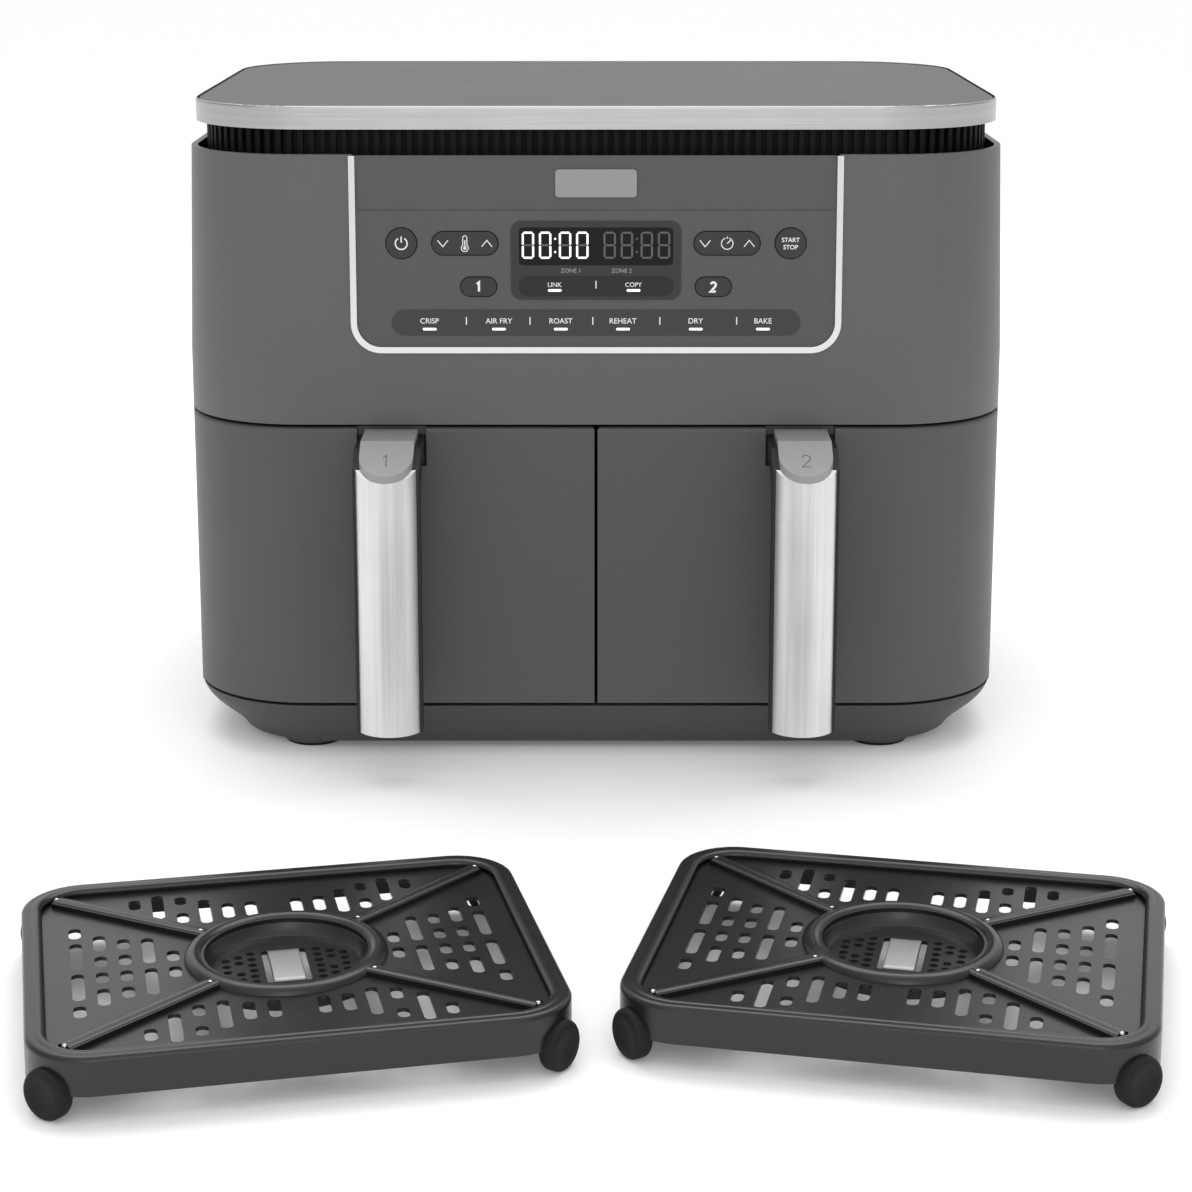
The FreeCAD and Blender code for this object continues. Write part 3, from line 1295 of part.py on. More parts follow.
def mirrored_pocket(body, sketch, depth):
    """Cut a quarter's sketch, and its mirror images, through the plate."""
    first = pocket(body, sketch, depth)
    doc.recompute()
    repeat = body.newObject("PartDesign::MultiTransform", "Quarters")
    repeat.Originals = [first]
    mirrors = []
    for role in ("XZ_Plane", "YZ_Plane"):
        mirror = body.newObject("PartDesign::Mirrored", "Mirror")
        mirror.MirrorPlane = ([item for item in body.Origin.OriginFeatures
                               if item.Role == role][0], [""])
        mirrors.append(mirror)
    repeat.Transformations = mirrors
    body.Tip = repeat
    doc.recompute()


FIELD_TOP = "(plate_top - plate_sink)"
HALF_PLATE = ("plate_length / 2", "plate_width / 2")


def stand_plate(item, side):
    """Lay a plate's piece on the counter, in front of its drawer and turned a little."""
    item.Placement = FreeCAD.Placement(FreeCAD.Vector(), FreeCAD.Rotation(FreeCAD.Vector(0, 0, -side), 1))
    depth = "plate_one_y" if side < 0 else "plate_two_y"
    bind(item, Placement__Base__x=f"{side} * (plate_x + {PLATE_SPAN})",
         Placement__Base__y=f"-{depth}",
         Placement__Rotation__Angle="plate_turn")
    return item


def crisper_plate(zone, side):
    """A pressed plate: skirt, raised rim, ribbed field, raised ring and well, all slotted."""
    body = new_body(f"crisper_plate_{zone}")
    skirt = plan(body, "plate_top - plate_depth", *HALF_PLATE, "plate_corner")
    pad(body, skirt, "plate_depth")
    crown = value("plate_top")
    soften(body, "plate_round", lambda edge: level(edge, crown))
    under = plan(body, "plate_top - plate_depth", f"{HALF_PLATE[0]} - plate_skin",
                 f"{HALF_PLATE[1]} - plate_skin", "plate_corner - plate_skin")
    pocket(body, under, "plate_depth - plate_sink - plate_skin", forward=True)
    field = plan(body, "plate_top", f"{HALF_PLATE[0]} - plate_rim", f"{HALF_PLATE[1]} - plate_rim",
                 "plate_corner - plate_rim")
    pocket(body, field, "plate_sink")
    well = new_sketch(body, "XY_Plane", f"{FIELD_TOP} - well_depth")
    disc(well, "0", "0", "ring_radius")
    pad(body, well, "well_depth + plate_rib_height")
    bowl = new_sketch(body, "XY_Plane", f"{FIELD_TOP} + plate_rib_height")
    disc(bowl, "0", "0", "well_radius")
    pocket(body, bowl, "plate_rib_height + well_depth - plate_skin")
    hollow = new_sketch(body, "XY_Plane", f"{FIELD_TOP} - well_depth")
    disc(hollow, "0", "0", "ring_radius - plate_skin")
    disc(hollow, "0", "0", "well_radius + plate_skin")
    pocket(body, hollow, "well_depth + plate_rib_height - plate_skin", forward=True)
    rib_run = ("(plate_length / 2 - plate_rim - plate_corner / 3)",
               "(plate_width / 2 - plate_rim - plate_corner / 3)")
    length = f"sqrt({rib_run[0]} ^ 2 + {rib_run[1]} ^ 2)"
    for turn in (1, -1):
        ribs = new_sketch(body, "XY_Plane", f"{FIELD_TOP} - plate_skin / 2")
        ribs.AttachmentOffset = FreeCAD.Placement(
            FreeCAD.Vector(), FreeCAD.Rotation(FreeCAD.Vector(0, 0, turn), 1))
        bind(ribs, AttachmentOffset__Rotation__Angle=f"atan({rib_run[1]} / {rib_run[0]})")
        middle = f"(({length} + ring_radius - plate_skin) / 2)"
        for way in (1, -1):
            centred(ribs, f"{way} * {middle}", "0", f"({length} - ring_radius + plate_skin)",
                    "plate_rib")
        pad(body, ribs, "plate_skin / 2 + plate_rib_height")
    slots = plate_slots(new_sketch(body, "XY_Plane", f"plate_top + {OUTSIDE}"))
    mirrored_pocket(body, slots, f"plate_depth + {OUTSIDE}")
    window = new_sketch(body, "XY_Plane", f"plate_top + {OUTSIDE}")
    centred(window, "0", "0", "window_width", "window_length", "1.5")
    pocket(body, window, f"plate_depth + {OUTSIDE}")
    holes = new_sketch(body, "XY_Plane", f"plate_top + {OUTSIDE}")
    for column, row in ((0, 0.5), (0, 1.5), (0, 2.5), (1, 1), (1, 2), (2, 0.5), (2, 1.5)):
        disc(holes, f"window_width / 2 + perforation * (2.4 + {column} * 2.9)",
             f"perforation * {row} * 3.1", "perforation")
    mirrored_pocket(body, holes, f"plate_depth + {OUTSIDE}")
    strap = new_sketch(body, "XY_Plane", f"{FIELD_TOP} - well_depth")
    centred(strap, "0", "0", "strap_width", "window_length + plate_skin")
    pad(body, strap, "plate_skin")
    return node(stand_plate(body, side), f"crisper_plate_{zone}")


def plate_bumpers(zone, side):
    """Four rubber feet, each a disc that grips the skirt at a corner."""
    discs = []
    way = math.sqrt(0.5)
    for x in (1, -1):
        for y in (1, -1):
            disc_foot = doc.addObject("Part::Cylinder", "Bumper")
            disc_foot.Placement = FreeCAD.Placement(FreeCAD.Vector(), FreeCAD.Rotation(
                FreeCAD.Vector(0, 0, 1), FreeCAD.Vector(x * way, y * way, 0)))
            reach = f"(plate_corner - bumper_inside) * {way:.6f}"
            bind(disc_foot, Radius="bumper_radius", Height="bumper_length",
                 Placement__Base__x=f"{x} * (plate_length / 2 - plate_corner + {reach})",
                 Placement__Base__y=f"{y} * (plate_width / 2 - plate_corner + {reach})",
                 Placement__Base__z="bumper_radius")
            discs.append(disc_foot)
    skirt = new_body(f"skirt_slot_{zone}")
    pad(skirt, plan(skirt, "plate_top - plate_depth", *HALF_PLATE, "plate_corner"), "plate_depth")
    inner = plan(skirt, "plate_top - plate_depth", f"{HALF_PLATE[0]} - plate_skin",
                 f"{HALF_PLATE[1]} - plate_skin", "plate_corner - plate_skin")
    pocket(skirt, inner, "plate_depth", forward=True)
    return node(stand_plate(cut(joined(discs), [skirt]), side), f"plate_bumpers_{zone}")


# --- the whole fryer ---------------------------------------------------------------------

for build in (housing_shell, base_pan, foot_pads, rear_vent_cover, cord_gland, top_deck, vent_ring,
              lid_top, lid_band, panel_trim, control_panel, header_strip, badge, display_bezel,
              display_lens, touch_bar, function_strip, display_module, keys, control_board,
              key_switches, drawer_runners, temperature_probes, interlock_switches, power_board):
    build()
for zone, side in ZONES.items():
    for build in (cavity_liner, heating_element, element_guard, fan_motor, fan_rotor, cooling_fan,
                  drawer_front, basket, basket_screws, handle_core, handle_cover, handle_cap,
                  crisper_plate, plate_bumpers):
        build(zone, side)
doc.recompute()

faults = [item.Label for item in doc.Objects if {"Invalid", "Error"} & set(item.State)]
faults += [item.Label for item in nodes if item.Shape.isNull() or not item.Shape.isValid()]
if faults:
    raise RuntimeError("failed objects: " + ", ".join(faults))
os.makedirs("parts", exist_ok=True)
for item in nodes:
    item.Shape.exportStep(f"parts/{item.Label}.step")
print(f"wrote {len(nodes)} sub-parts")
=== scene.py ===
"""Studio scene of a counter-top air fryer with two drawers and two loose crisper plates.

Lengths are in metres, in the same frame as the model: X to the user's right, Y to the
rear and Z up. The shapes of the model are kept and dressed. What is printed on the panel
and the handles, the plates' bumpers, beads, straps and rivets, and the rear fittings are
made here.
"""

from __future__ import annotations

import json
import logging
import math
from dataclasses import dataclass, field
from enum import Enum
from typing import Any, Callable, Iterable, Sequence

import bmesh
import bpy
from mathutils import Matrix, Vector
from mathutils.bvhtree import BVHTree

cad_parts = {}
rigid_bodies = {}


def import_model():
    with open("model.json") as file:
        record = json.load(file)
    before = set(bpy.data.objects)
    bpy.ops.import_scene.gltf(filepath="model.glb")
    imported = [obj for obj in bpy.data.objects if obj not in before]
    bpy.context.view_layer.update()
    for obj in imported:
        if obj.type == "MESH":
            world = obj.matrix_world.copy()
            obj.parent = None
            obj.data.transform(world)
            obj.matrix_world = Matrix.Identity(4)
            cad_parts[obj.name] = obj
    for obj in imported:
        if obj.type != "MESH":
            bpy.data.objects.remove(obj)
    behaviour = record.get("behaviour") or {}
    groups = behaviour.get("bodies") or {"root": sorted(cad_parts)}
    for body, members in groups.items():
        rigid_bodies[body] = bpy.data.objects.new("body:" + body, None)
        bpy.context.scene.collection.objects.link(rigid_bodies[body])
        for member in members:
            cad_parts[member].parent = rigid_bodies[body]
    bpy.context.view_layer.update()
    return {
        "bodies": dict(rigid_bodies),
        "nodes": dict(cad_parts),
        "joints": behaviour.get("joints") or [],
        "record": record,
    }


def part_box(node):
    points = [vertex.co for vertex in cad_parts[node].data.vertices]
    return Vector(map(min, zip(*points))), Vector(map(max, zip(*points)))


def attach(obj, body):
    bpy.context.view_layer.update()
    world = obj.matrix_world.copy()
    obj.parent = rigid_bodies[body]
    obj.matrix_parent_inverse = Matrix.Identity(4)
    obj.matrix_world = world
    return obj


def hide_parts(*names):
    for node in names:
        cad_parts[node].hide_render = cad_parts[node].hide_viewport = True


LOG = logging.getLogger("air_fryer")
MM = 0.001

Point = tuple[float, float]
Colour = tuple[float, float, float]

WHITE = (1.0, 1.0, 1.0, 1.0)
AS_IS = (1.0, 1.0, 1.0)
QUARTERS = ((-1, -1), (-1, 1), (1, -1), (1, 1))
ON_AXIS = 1e-9
SHARPEST_MITRE = 0.3
PRINT_GAP = 0.03 * MM
DISC_TURN = (0, 345, 23)


# --- shader tools ---

def arithmetic(operation: str, swapped: bool = False) -> Callable[[Socket, Any], Socket]:
    """An operator of a Socket that adds a Math node to its graph.

    Args:
        operation: The node's operation.
        swapped: Whether the Socket is the second value.

    Returns:
        The operator.
    """
    def apply(this: Socket, other: Any) -> Socket:
        """Add the node and give its result."""
        first, second = (other, this) if swapped else (this, other)
        return this.graph.node("ShaderNodeMath", {"operation": operation},
                               {0: first, 1: second})

    return apply


@dataclass(frozen=True)
class Socket:
    """A node's output, which can be reckoned with.

    Attributes:
        graph: The graph that it is in.
        link: The output itself.
    """

    graph: Graph
    link: bpy.types.NodeSocket

    __add__ = arithmetic("ADD")
    __radd__ = arithmetic("ADD", swapped=True)
    __sub__ = arithmetic("SUBTRACT")
    __rsub__ = arithmetic("SUBTRACT", swapped=True)
    __mul__ = arithmetic("MULTIPLY")

    def rise(self, start: float, end: float, low: float = 0.0, high: float = 1.0) -> Socket:
        """A smooth step.

        Args:
            start: Where the step begins.
            end: Where it ends.
            low: Its value up to the start.
            high: Its value from the end.

        Returns:
            The step.
        """
        return self.graph.node(
            "ShaderNodeMapRange", {"interpolation_type": "SMOOTHSTEP"},
            {0: self, 1: start, 2: end, 3: low, 4: high})


class Graph:
    """The node graph of a material or a world, with the shader it starts with."""

    def __init__(self, owner: bpy.types.Material | bpy.types.World, shader: str) -> None:
        """Start a graph.

        Args:
            owner: The material or world.
            shader: The name of its shader node.
        """
        owner.use_nodes = True
        self.tree = owner.node_tree
        self.shader = self.tree.nodes[shader]

    def node(self, kind: str, settings: dict[str, Any], inputs: dict[Any, Any],
             output: Any = 0) -> Socket:
        """Add a node of any type.

        Args:
            kind: The node's type.
            settings: Attributes, set before the sockets.
            inputs: A value, or a Socket to link, for each input's name or number.
            output: The name or number of the output to return.

        Returns:
            That output.
        """
        made = self.tree.nodes.new(kind)
        for key, setting in settings.items():
            setattr(made, key, setting)
        for key, given in inputs.items():
            self.feed(made.inputs[key], given)
        return Socket(self, made.outputs[output])

    def feed(self, target: bpy.types.NodeSocket, given: Any) -> None:
        """Link a Socket to an input, or set the input's value.

        Args:
            target: The input.
            given: A Socket, or a plain value.
        """
        if isinstance(given, Socket):
            self.tree.links.new(given.link, target)
        else:
            target.default_value = given

    def place(self, stretch: Colour = AS_IS) -> Socket:
        """Object coordinates, stretched along the axes.

        Args:
            stretch: What each axis is multiplied by.

        Returns:
            The coordinates.
        """
        local = self.node("ShaderNodeTexCoord", {}, {}, "Object")
        return self.node("ShaderNodeMapping", {}, {"Vector": local, "Scale": stretch})

    def noise(self, size: float, detail: float = 3.0, stretch: Colour = AS_IS) -> Socket:
        """Noise from 0 to 1.

        Args:
            size: The size of its patches in metres.
            detail: How many finer layers it has.
            stretch: What each axis is multiplied by first.

        Returns:
            The noise.
        """
        return self.node("ShaderNodeTexNoise", {},
                         {"Vector": self.place(stretch), "Scale": 1.0 / size, "Detail": detail,
                          "Roughness": 0.55})

    def cells(self, size: float) -> Socket:
        """Distance to the nearest of many scattered points, in cells.

        Args:
            size: The size of a cell in metres.

        Returns:
            The distance.
        """
        return self.node("ShaderNodeTexVoronoi", {},
                         {"Vector": self.place(), "Scale": 1.0 / size}, "Distance")

    def tint(self, factor: Socket, colour: Colour, low: float, high: float) -> Socket:
        """Vary a colour between two strengths of it.

        Args:
            factor: 0 for the first strength and 1 for the second.
            colour: The colour.
            low: What it is multiplied by at 0.
            high: What it is multiplied by at 1.

        Returns:
            The varied colour.
        """
        return self.blend(factor, *(tuple(min(1.0, part * strength) for part in colour)
                                    for strength in (low, high)))

    def blend(self, factor: Socket, first: Colour, second: Colour) -> Socket:
        """Mix two colours.

        Args:
            factor: 0 for the first colour and 1 for the second.
            first: A colour.
            second: A colour.

        Returns:
            The mixed colour.
        """
        return self.node("ShaderNodeMix", {"data_type": "RGBA"},
                         {0: factor, 6: (*first, 1.0), 7: (*second, 1.0)}, 2)

    def bump(self, height: Socket, depth: float) -> Socket:
        """Turn a height into a normal.

        Args:
            height: The height, from 0 to 1.
            depth: How deep that is in metres.

        Returns:
            The normal.
        """
        return self.node("ShaderNodeBump", {}, {"Strength": 1.0, "Distance": depth,
                                                "Height": height})

    def dress(self, **given: Any) -> None:
        """Set or link the shader's inputs.

        Args:
            **given: A value or Socket for each input, its name with _ for a space.
        """
        for key, what in given.items():
            self.feed(self.shader.inputs[key.replace("_", " ")], what)


# --- finishes ---

class Brush(Enum):
    """The direction in which steel is brushed."""

    UPRIGHT = (1.0, 1.0, 0.004)
    LEVEL = (0.006, 0.006, 1.0)


@dataclass(frozen=True)
class Finish:
    """A surface finish, which paints a graph.

    Attributes:
        name: The material's name.
        colour: The main colour, linear.
    """

    name: str
    colour: Colour

    def paint(self, graph: Graph) -> None:
        """Paint the graph; each kind of finish has its own way."""
        raise NotImplementedError

    def material(self) -> bpy.types.Material:
        """Make the material.

        Returns:
            The painted material.
        """
        made = bpy.data.materials.new(self.name)
        self.paint(Graph(made, "Principled BSDF"))
        return made


@dataclass(frozen=True)
class Moulded(Finish):
    """Moulded plastic with a fine spark-eroded grain."""

    roughness: float = 0.5
    grain: float = 0.45 * MM
    depth: float = 0.012 * MM
    gloss: float = 0.4

    def paint(self, graph: Graph) -> None:
        """Fine grain, with a little drift of colour and gloss over larger patches."""
        grain = graph.noise(self.grain, 2.0)
        drift = graph.noise(60 * MM, 2.0)
        fleck = grain * 0.35 + drift * 0.65
        graph.dress(
            Base_Color=graph.tint(fleck, self.colour, 0.93, 1.07),
            Roughness=self.roughness - 0.05 + drift * 0.07 + grain * 0.04,
            Specular_IOR_Level=self.gloss,
            Normal=graph.bump(grain, self.depth))


@dataclass(frozen=True)
class Glossy(Finish):
    """Smooth plastic with faint wiping marks."""

    roughness: float = 0.2
    coat: float = 0.0
    gloss: float = 0.3

    def paint(self, graph: Graph) -> None:
        """A smooth face whose gloss changes in faint smears."""
        smear = graph.noise(14 * MM, 3.0, (1.0, 1.0, 0.4))
        dust = graph.noise(0.8 * MM, 2.0)
        graph.dress(
            Base_Color=graph.tint(smear, self.colour, 0.96, 1.05),
            Roughness=self.roughness + smear * 0.08 + dust * 0.03,
            Coat_Weight=self.coat,
            Coat_Roughness=0.08,
            Specular_IOR_Level=self.gloss,
            Normal=graph.bump(graph.noise(4 * MM, 1.0), 0.004 * MM))


@dataclass(frozen=True)
class Brushed(Finish):
    """Brushed stainless steel."""

    brush: Brush = Brush.UPRIGHT
    roughness: float = 0.3
    scratch: float = 0.35 * MM

    def paint(self, graph: Graph) -> None:
        """Long fine scratches over broader streaks."""
        fine = graph.noise(self.scratch, 3.0, self.brush.value)
        broad = graph.noise(2.6 * MM, 2.0, self.brush.value)
        cloud = graph.noise(35 * MM, 2.0)
        streak = fine * 0.5 + broad * 0.3 + cloud * 0.2
        graph.dress(
            Base_Color=graph.tint(streak.rise(0.25, 0.75), self.colour, 0.84, 1.12),
            Metallic=1.0,
            Roughness=self.roughness + fine * 0.14 - 0.07,
            Normal=graph.bump(fine * 0.7 + broad * 0.3, 0.008 * MM))


@dataclass(frozen=True)
class Plated(Finish):
    """Bright plating, with a faint haze."""

    roughness: float = 0.12

    def paint(self, graph: Graph) -> None:
        """A bright metal whose gloss is hazed here and there."""
        haze = graph.noise(3 * MM, 3.0)
        graph.dress(
            Base_Color=graph.tint(haze, self.colour, 0.95, 1.0),
            Metallic=1.0,
            Roughness=self.roughness + haze * 0.08,
            Normal=graph.bump(haze, 0.002 * MM))


@dataclass(frozen=True)
class Rubbery(Finish):
    """Matt black rubber."""

    def paint(self, graph: Graph) -> None:
        """Small pits and pale dust on a matt face."""
        pit = graph.noise(0.6 * MM, 3.0)
        dust = graph.noise(9 * MM, 3.0).rise(0.45, 0.8)
        graph.dress(
            Base_Color=graph.tint(dust * 0.5, self.colour, 1.0, 1.5),
            Roughness=0.62 + pit * 0.16,
            Specular_IOR_Level=0.3,
            Normal=graph.bump(pit, 0.03 * MM))


@dataclass(frozen=True)
class NonStick(Finish):
    """Dark non-stick coating with tiny flecks of metal."""

    fleck_size: float = 0.9 * MM
    fleck_share: float = 0.10

    def paint(self, graph: Graph) -> None:
        """Rare flecks over a slightly rippled satin coat."""
        flecks = 1 - graph.cells(self.fleck_size).rise(self.fleck_share, self.fleck_share + 0.08)
        ripple = graph.noise(1.6 * MM, 2.0)
        wear = graph.noise(24 * MM, 3.0)
        graph.dress(
            Base_Color=graph.tint(flecks * 0.5 + wear * 0.15, self.colour, 1.0, 3.2),
            Roughness=0.27 + wear * 0.08 - flecks * 0.05,
            Specular_IOR_Level=0.5,
            Normal=graph.bump(ripple, 0.02 * MM))


@dataclass(frozen=True)
class Rolled(Finish):
    """Rolled sheet metal with a spangle."""

    roughness: float = 0.34

    def paint(self, graph: Graph) -> None:
        """Spangled patches crossed by the marks of the rolls."""
        spangle = graph.cells(7 * MM)
        rolling = graph.noise(0.8 * MM, 2.0, (1.0, 0.03, 1.0))
        graph.dress(
            Base_Color=graph.tint(spangle * 0.6 + rolling * 0.4, self.colour, 0.86, 1.1),
            Metallic=1.0,
            Roughness=self.roughness + spangle * 0.10,
            Normal=graph.bump(rolling, 0.01 * MM))


@dataclass(frozen=True)
class Heated(Finish):
    """Metal sheath darkened by heat, with a straw and blue cast."""

    def paint(self, graph: Graph) -> None:
        """Bands of oxide over a dull metal."""
        oxide = graph.noise(18 * MM, 4.0).rise(0.35, 0.7)
        scale = graph.noise(1.2 * MM, 3.0)
        graph.dress(
            Base_Color=graph.blend(oxide, self.colour, (0.16, 0.12, 0.10)),
            Metallic=0.85,
            Roughness=0.42 + oxide * 0.15,
            Normal=graph.bump(scale, 0.02 * MM))


@dataclass(frozen=True)
class Cast(Finish):
    """Zinc-coated casting."""

    def paint(self, graph: Graph) -> None:
        """A pebbled metal face."""
        pebble = graph.noise(1.1 * MM, 3.0)
        patch = graph.noise(12 * MM, 2.0)
        graph.dress(
            Base_Color=graph.tint(patch, self.colour, 0.85, 1.15),
            Metallic=0.9,
            Roughness=0.45 + pebble * 0.12,
            Normal=graph.bump(pebble, 0.05 * MM))


@dataclass(frozen=True)
class SolderMask(Finish):
    """A circuit board's green mask over copper tracks."""

    def paint(self, graph: Graph) -> None:
        """Paler tracks showing through the mask."""
        track = graph.node("ShaderNodeTexBrick", {"offset": 0.5},
                           {"Vector": graph.place(), "Scale": 180.0,
                            "Mortar Size": 0.06, "Mortar Smooth": 0.4}, "Fac")
        weave = graph.noise(0.5 * MM, 2.0)
        graph.dress(
            Base_Color=graph.tint(track, self.colour, 1.0, 2.0),
            Roughness=0.3 + weave * 0.1,
            Normal=graph.bump(track * 0.8 + weave * 0.2, 0.03 * MM))


@dataclass(frozen=True)
class Ink(Finish):
    """Light printed ink, or a lamp behind the panel when it glows; where plain print is given a
    glow, that glow is painted brightness, not a lamp.
    """

    glow: float = 0.0

    def paint(self, graph: Graph) -> None:
        """Ink with a slight mottle."""
        mottle = graph.noise(0.4 * MM, 2.0)
        tone = graph.tint(mottle, self.colour, 0.92, 1.0)
        # The emission is a lamp's light for the lamps, and painted brightness for plain print.
        graph.dress(Base_Color=tone, Emission_Color=tone, Emission_Strength=self.glow,
                    Roughness=0.42 + mottle * 0.1)


@dataclass(frozen=True)
class Backdrop(Finish):
    """Plain pale paper that the set stands on."""

    def paint(self, graph: Graph) -> None:
        """Paper with the faintest tooth."""
        tooth = graph.noise(1.5 * MM, 2.0)
        graph.dress(
            Base_Color=graph.tint(tooth, self.colour, 0.99, 1.0),
            Roughness=0.8 + tooth * 0.1,
            Specular_IOR_Level=0.1,
            Emission_Color=WHITE,
            Emission_Strength=0.10)


CAD_FINISHES: dict[str, Finish] = {finish.name: finish for finish in (
    Moulded("shell_grey", (0.099, 0.099, 0.100), 0.46),
    Moulded("drawer_grey", (0.073, 0.073, 0.075), 0.48),
    Moulded("base_grey", (0.057, 0.057, 0.059), 0.5),
    Moulded("lid_grey", (0.060, 0.060, 0.062), 0.5, gloss=0.2),
    Brushed("band_steel", (0.46, 0.457, 0.45), Brush.LEVEL, 0.30),
    Brushed("handle_steel", (0.70, 0.696, 0.69), Brush.UPRIGHT, 0.42),
    Plated("trim_chrome", (0.68, 0.68, 0.68)),
    Moulded("cap_grey", (0.29, 0.29, 0.29), 0.36, 0.3 * MM, 0.005 * MM, 0.5),
    Moulded("black_plastic", (0.009, 0.009, 0.0095), 0.5),
    Glossy("panel_grey", (0.082, 0.082, 0.084), 0.36),
    Glossy("key_grey", (0.030, 0.030, 0.031), 0.36),
    Glossy("display_black", (0.007, 0.007, 0.0074), 0.18, gloss=0.15),
    Glossy("strip_grey", (0.040, 0.040, 0.041), 0.34),
    Rubbery("rubber", (0.006, 0.006, 0.006)),
    NonStick("nonstick", (0.0065, 0.0065, 0.0067)),
    Rolled("aluminised_steel", (0.56, 0.57, 0.58)),
    Heated("element_metal", (0.24, 0.23, 0.23)),
    Cast("motor_metal", (0.35, 0.35, 0.36)),
    SolderMask("board_green", (0.02, 0.10, 0.045)),
    Plated("screw_zinc", (0.55, 0.55, 0.55), 0.26),
)}

NODE_FINISHES: dict[str, Finish] = {
    "touch_bar": Glossy("touch_bar_black", (0.010, 0.010, 0.0105), 0.24, 0.05),
    "display_bezel": Glossy("bezel_grey", (0.028, 0.028, 0.029), 0.34),
    # The vent ring and the deck are black plastic, made darker and duller than the other black
    # as painted shade in the gap under the lid.
    "vent_ring": Moulded("vent_black_painted_shade", (0.006, 0.006, 0.0062), 0.6, gloss=0.15),
    "top_deck": Moulded("deck_black_painted_shade", (0.005, 0.005, 0.0052), 0.6, gloss=0.1),
    "badge": Plated("badge_satin", (0.26, 0.26, 0.26), 0.34),
}

# The printed ink glows faintly though it is no lamp: painted brightness.
GLOWING_PRINT_WHITE = Ink("print_white_glow", (0.72, 0.72, 0.72), 0.15)
LAMP_WHITE = Ink("lamp_white", (0.92, 0.92, 0.90), 0.55)
LAMP_DIM = Ink("lamp_dim", (0.085, 0.085, 0.088))
CAPTION_GREY = Ink("caption_grey", (0.34, 0.34, 0.34))
# A dark grey film whose darkness is painted shade for a number sunk in the cap.
NUMERAL_PAINTED_SHADE = Ink("numeral_painted_shade", (0.10, 0.10, 0.10))
STRAP_METAL = Cast("strap_metal", (0.34, 0.34, 0.34))
LABEL_FOIL = Plated("label_foil", (0.5, 0.5, 0.5), 0.3)


# --- mesh tools ---

def link_mesh(name: str, shape: bmesh.types.BMesh, finish: bpy.types.Material
              ) -> bpy.types.Object:
    """Make an object of a finished shape.

    Args:
        name: The object's name.
        shape: Its shape, which is used up.
        finish: Its material.

    Returns:
        The object.
    """
    mesh = bpy.data.meshes.new(name)
    shape.to_mesh(mesh)
    shape.free()
    made = bpy.data.objects.new(name, mesh)
    bpy.context.scene.collection.objects.link(made)
    mesh.materials.append(finish)
    return made


def piece(name: str, shape: bmesh.types.BMesh, finish: bpy.types.Material, body: str,
          smooth: bool = False) -> bpy.types.Object:
    """Make an object of a finished shape and let it ride on a body.

    Args:
        name: The object's name.
        shape: Its shape in the frame, which is used up.
        finish: Its material.
        body: The body that it moves with.
        smooth: Whether its faces are shaded smooth.

    Returns:
        The object.
    """
    for face in shape.faces:
        face.smooth = smooth
    made = link_mesh(name, shape, finish)
    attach(made, body)
    LOG.info("made %s on %s: %d faces", name, body, len(made.data.polygons))
    return made


def arc(centre: Point, radius: float, start: float, end: float, steps: int = 32) -> list[Point]:
    """Points along an arc.

    Args:
        centre: The arc's centre.
        radius: Its radius.
        start: The angle it starts at, in degrees.
        end: The angle it ends at, in degrees.
        steps: How many runs it has.

    Returns:
        The points.
    """
    angles = [math.radians(start + (end - start) * i / steps) for i in range(steps + 1)]
    return [(centre[0] + radius * math.cos(a), centre[1] + radius * math.sin(a)) for a in angles]


def rounded(half_x: float, half_y: float, radius: float, steps: int) -> list[Point]:
    """The outline of a rectangle with round corners, about its middle.

    Args:
        half_x: Half its width.
        half_y: Half its height.
        radius: Its corners' radius.
        steps: How many runs a corner has.

    Returns:
        The points.
    """
    outline: list[Point] = []
    for x, y, start in ((1, 1, 0), (-1, 1, 90), (-1, -1, 180), (1, -1, 270)):
        outline += arc((x * (half_x - radius), y * (half_y - radius)), radius, start, start + 90,
                       steps)
    return outline


def lathe(shape: bmesh.types.BMesh, profile: Sequence[Point], place: Matrix,
          steps: int = 48) -> None:
    """Turn a profile about an axis and add it to a shape.

    Args:
        shape: The shape to add to.
        profile: Pairs of radius and height along the axis, ends on the axis.
        place: Where the turned piece goes; its own axis is Z.
        steps: How many sides it has.
    """
    rings = []
    for radius, height in profile:
        turn = [2 * math.pi * i / steps for i in range(steps if radius > ON_AXIS else 1)]
        rings.append([shape.verts.new(place @ Vector((radius * math.cos(a),
                                                      radius * math.sin(a), height)))
                      for a in turn])
    for low, high in zip(rings, rings[1:]):
        for i in range(steps):
            corners = [low[i % len(low)], low[(i + 1) % len(low)],
                       high[(i + 1) % len(high)], high[i % len(high)]]
            distinct = list(dict.fromkeys(corners))
            if len(distinct) > 2:
                shape.faces.new(distinct)


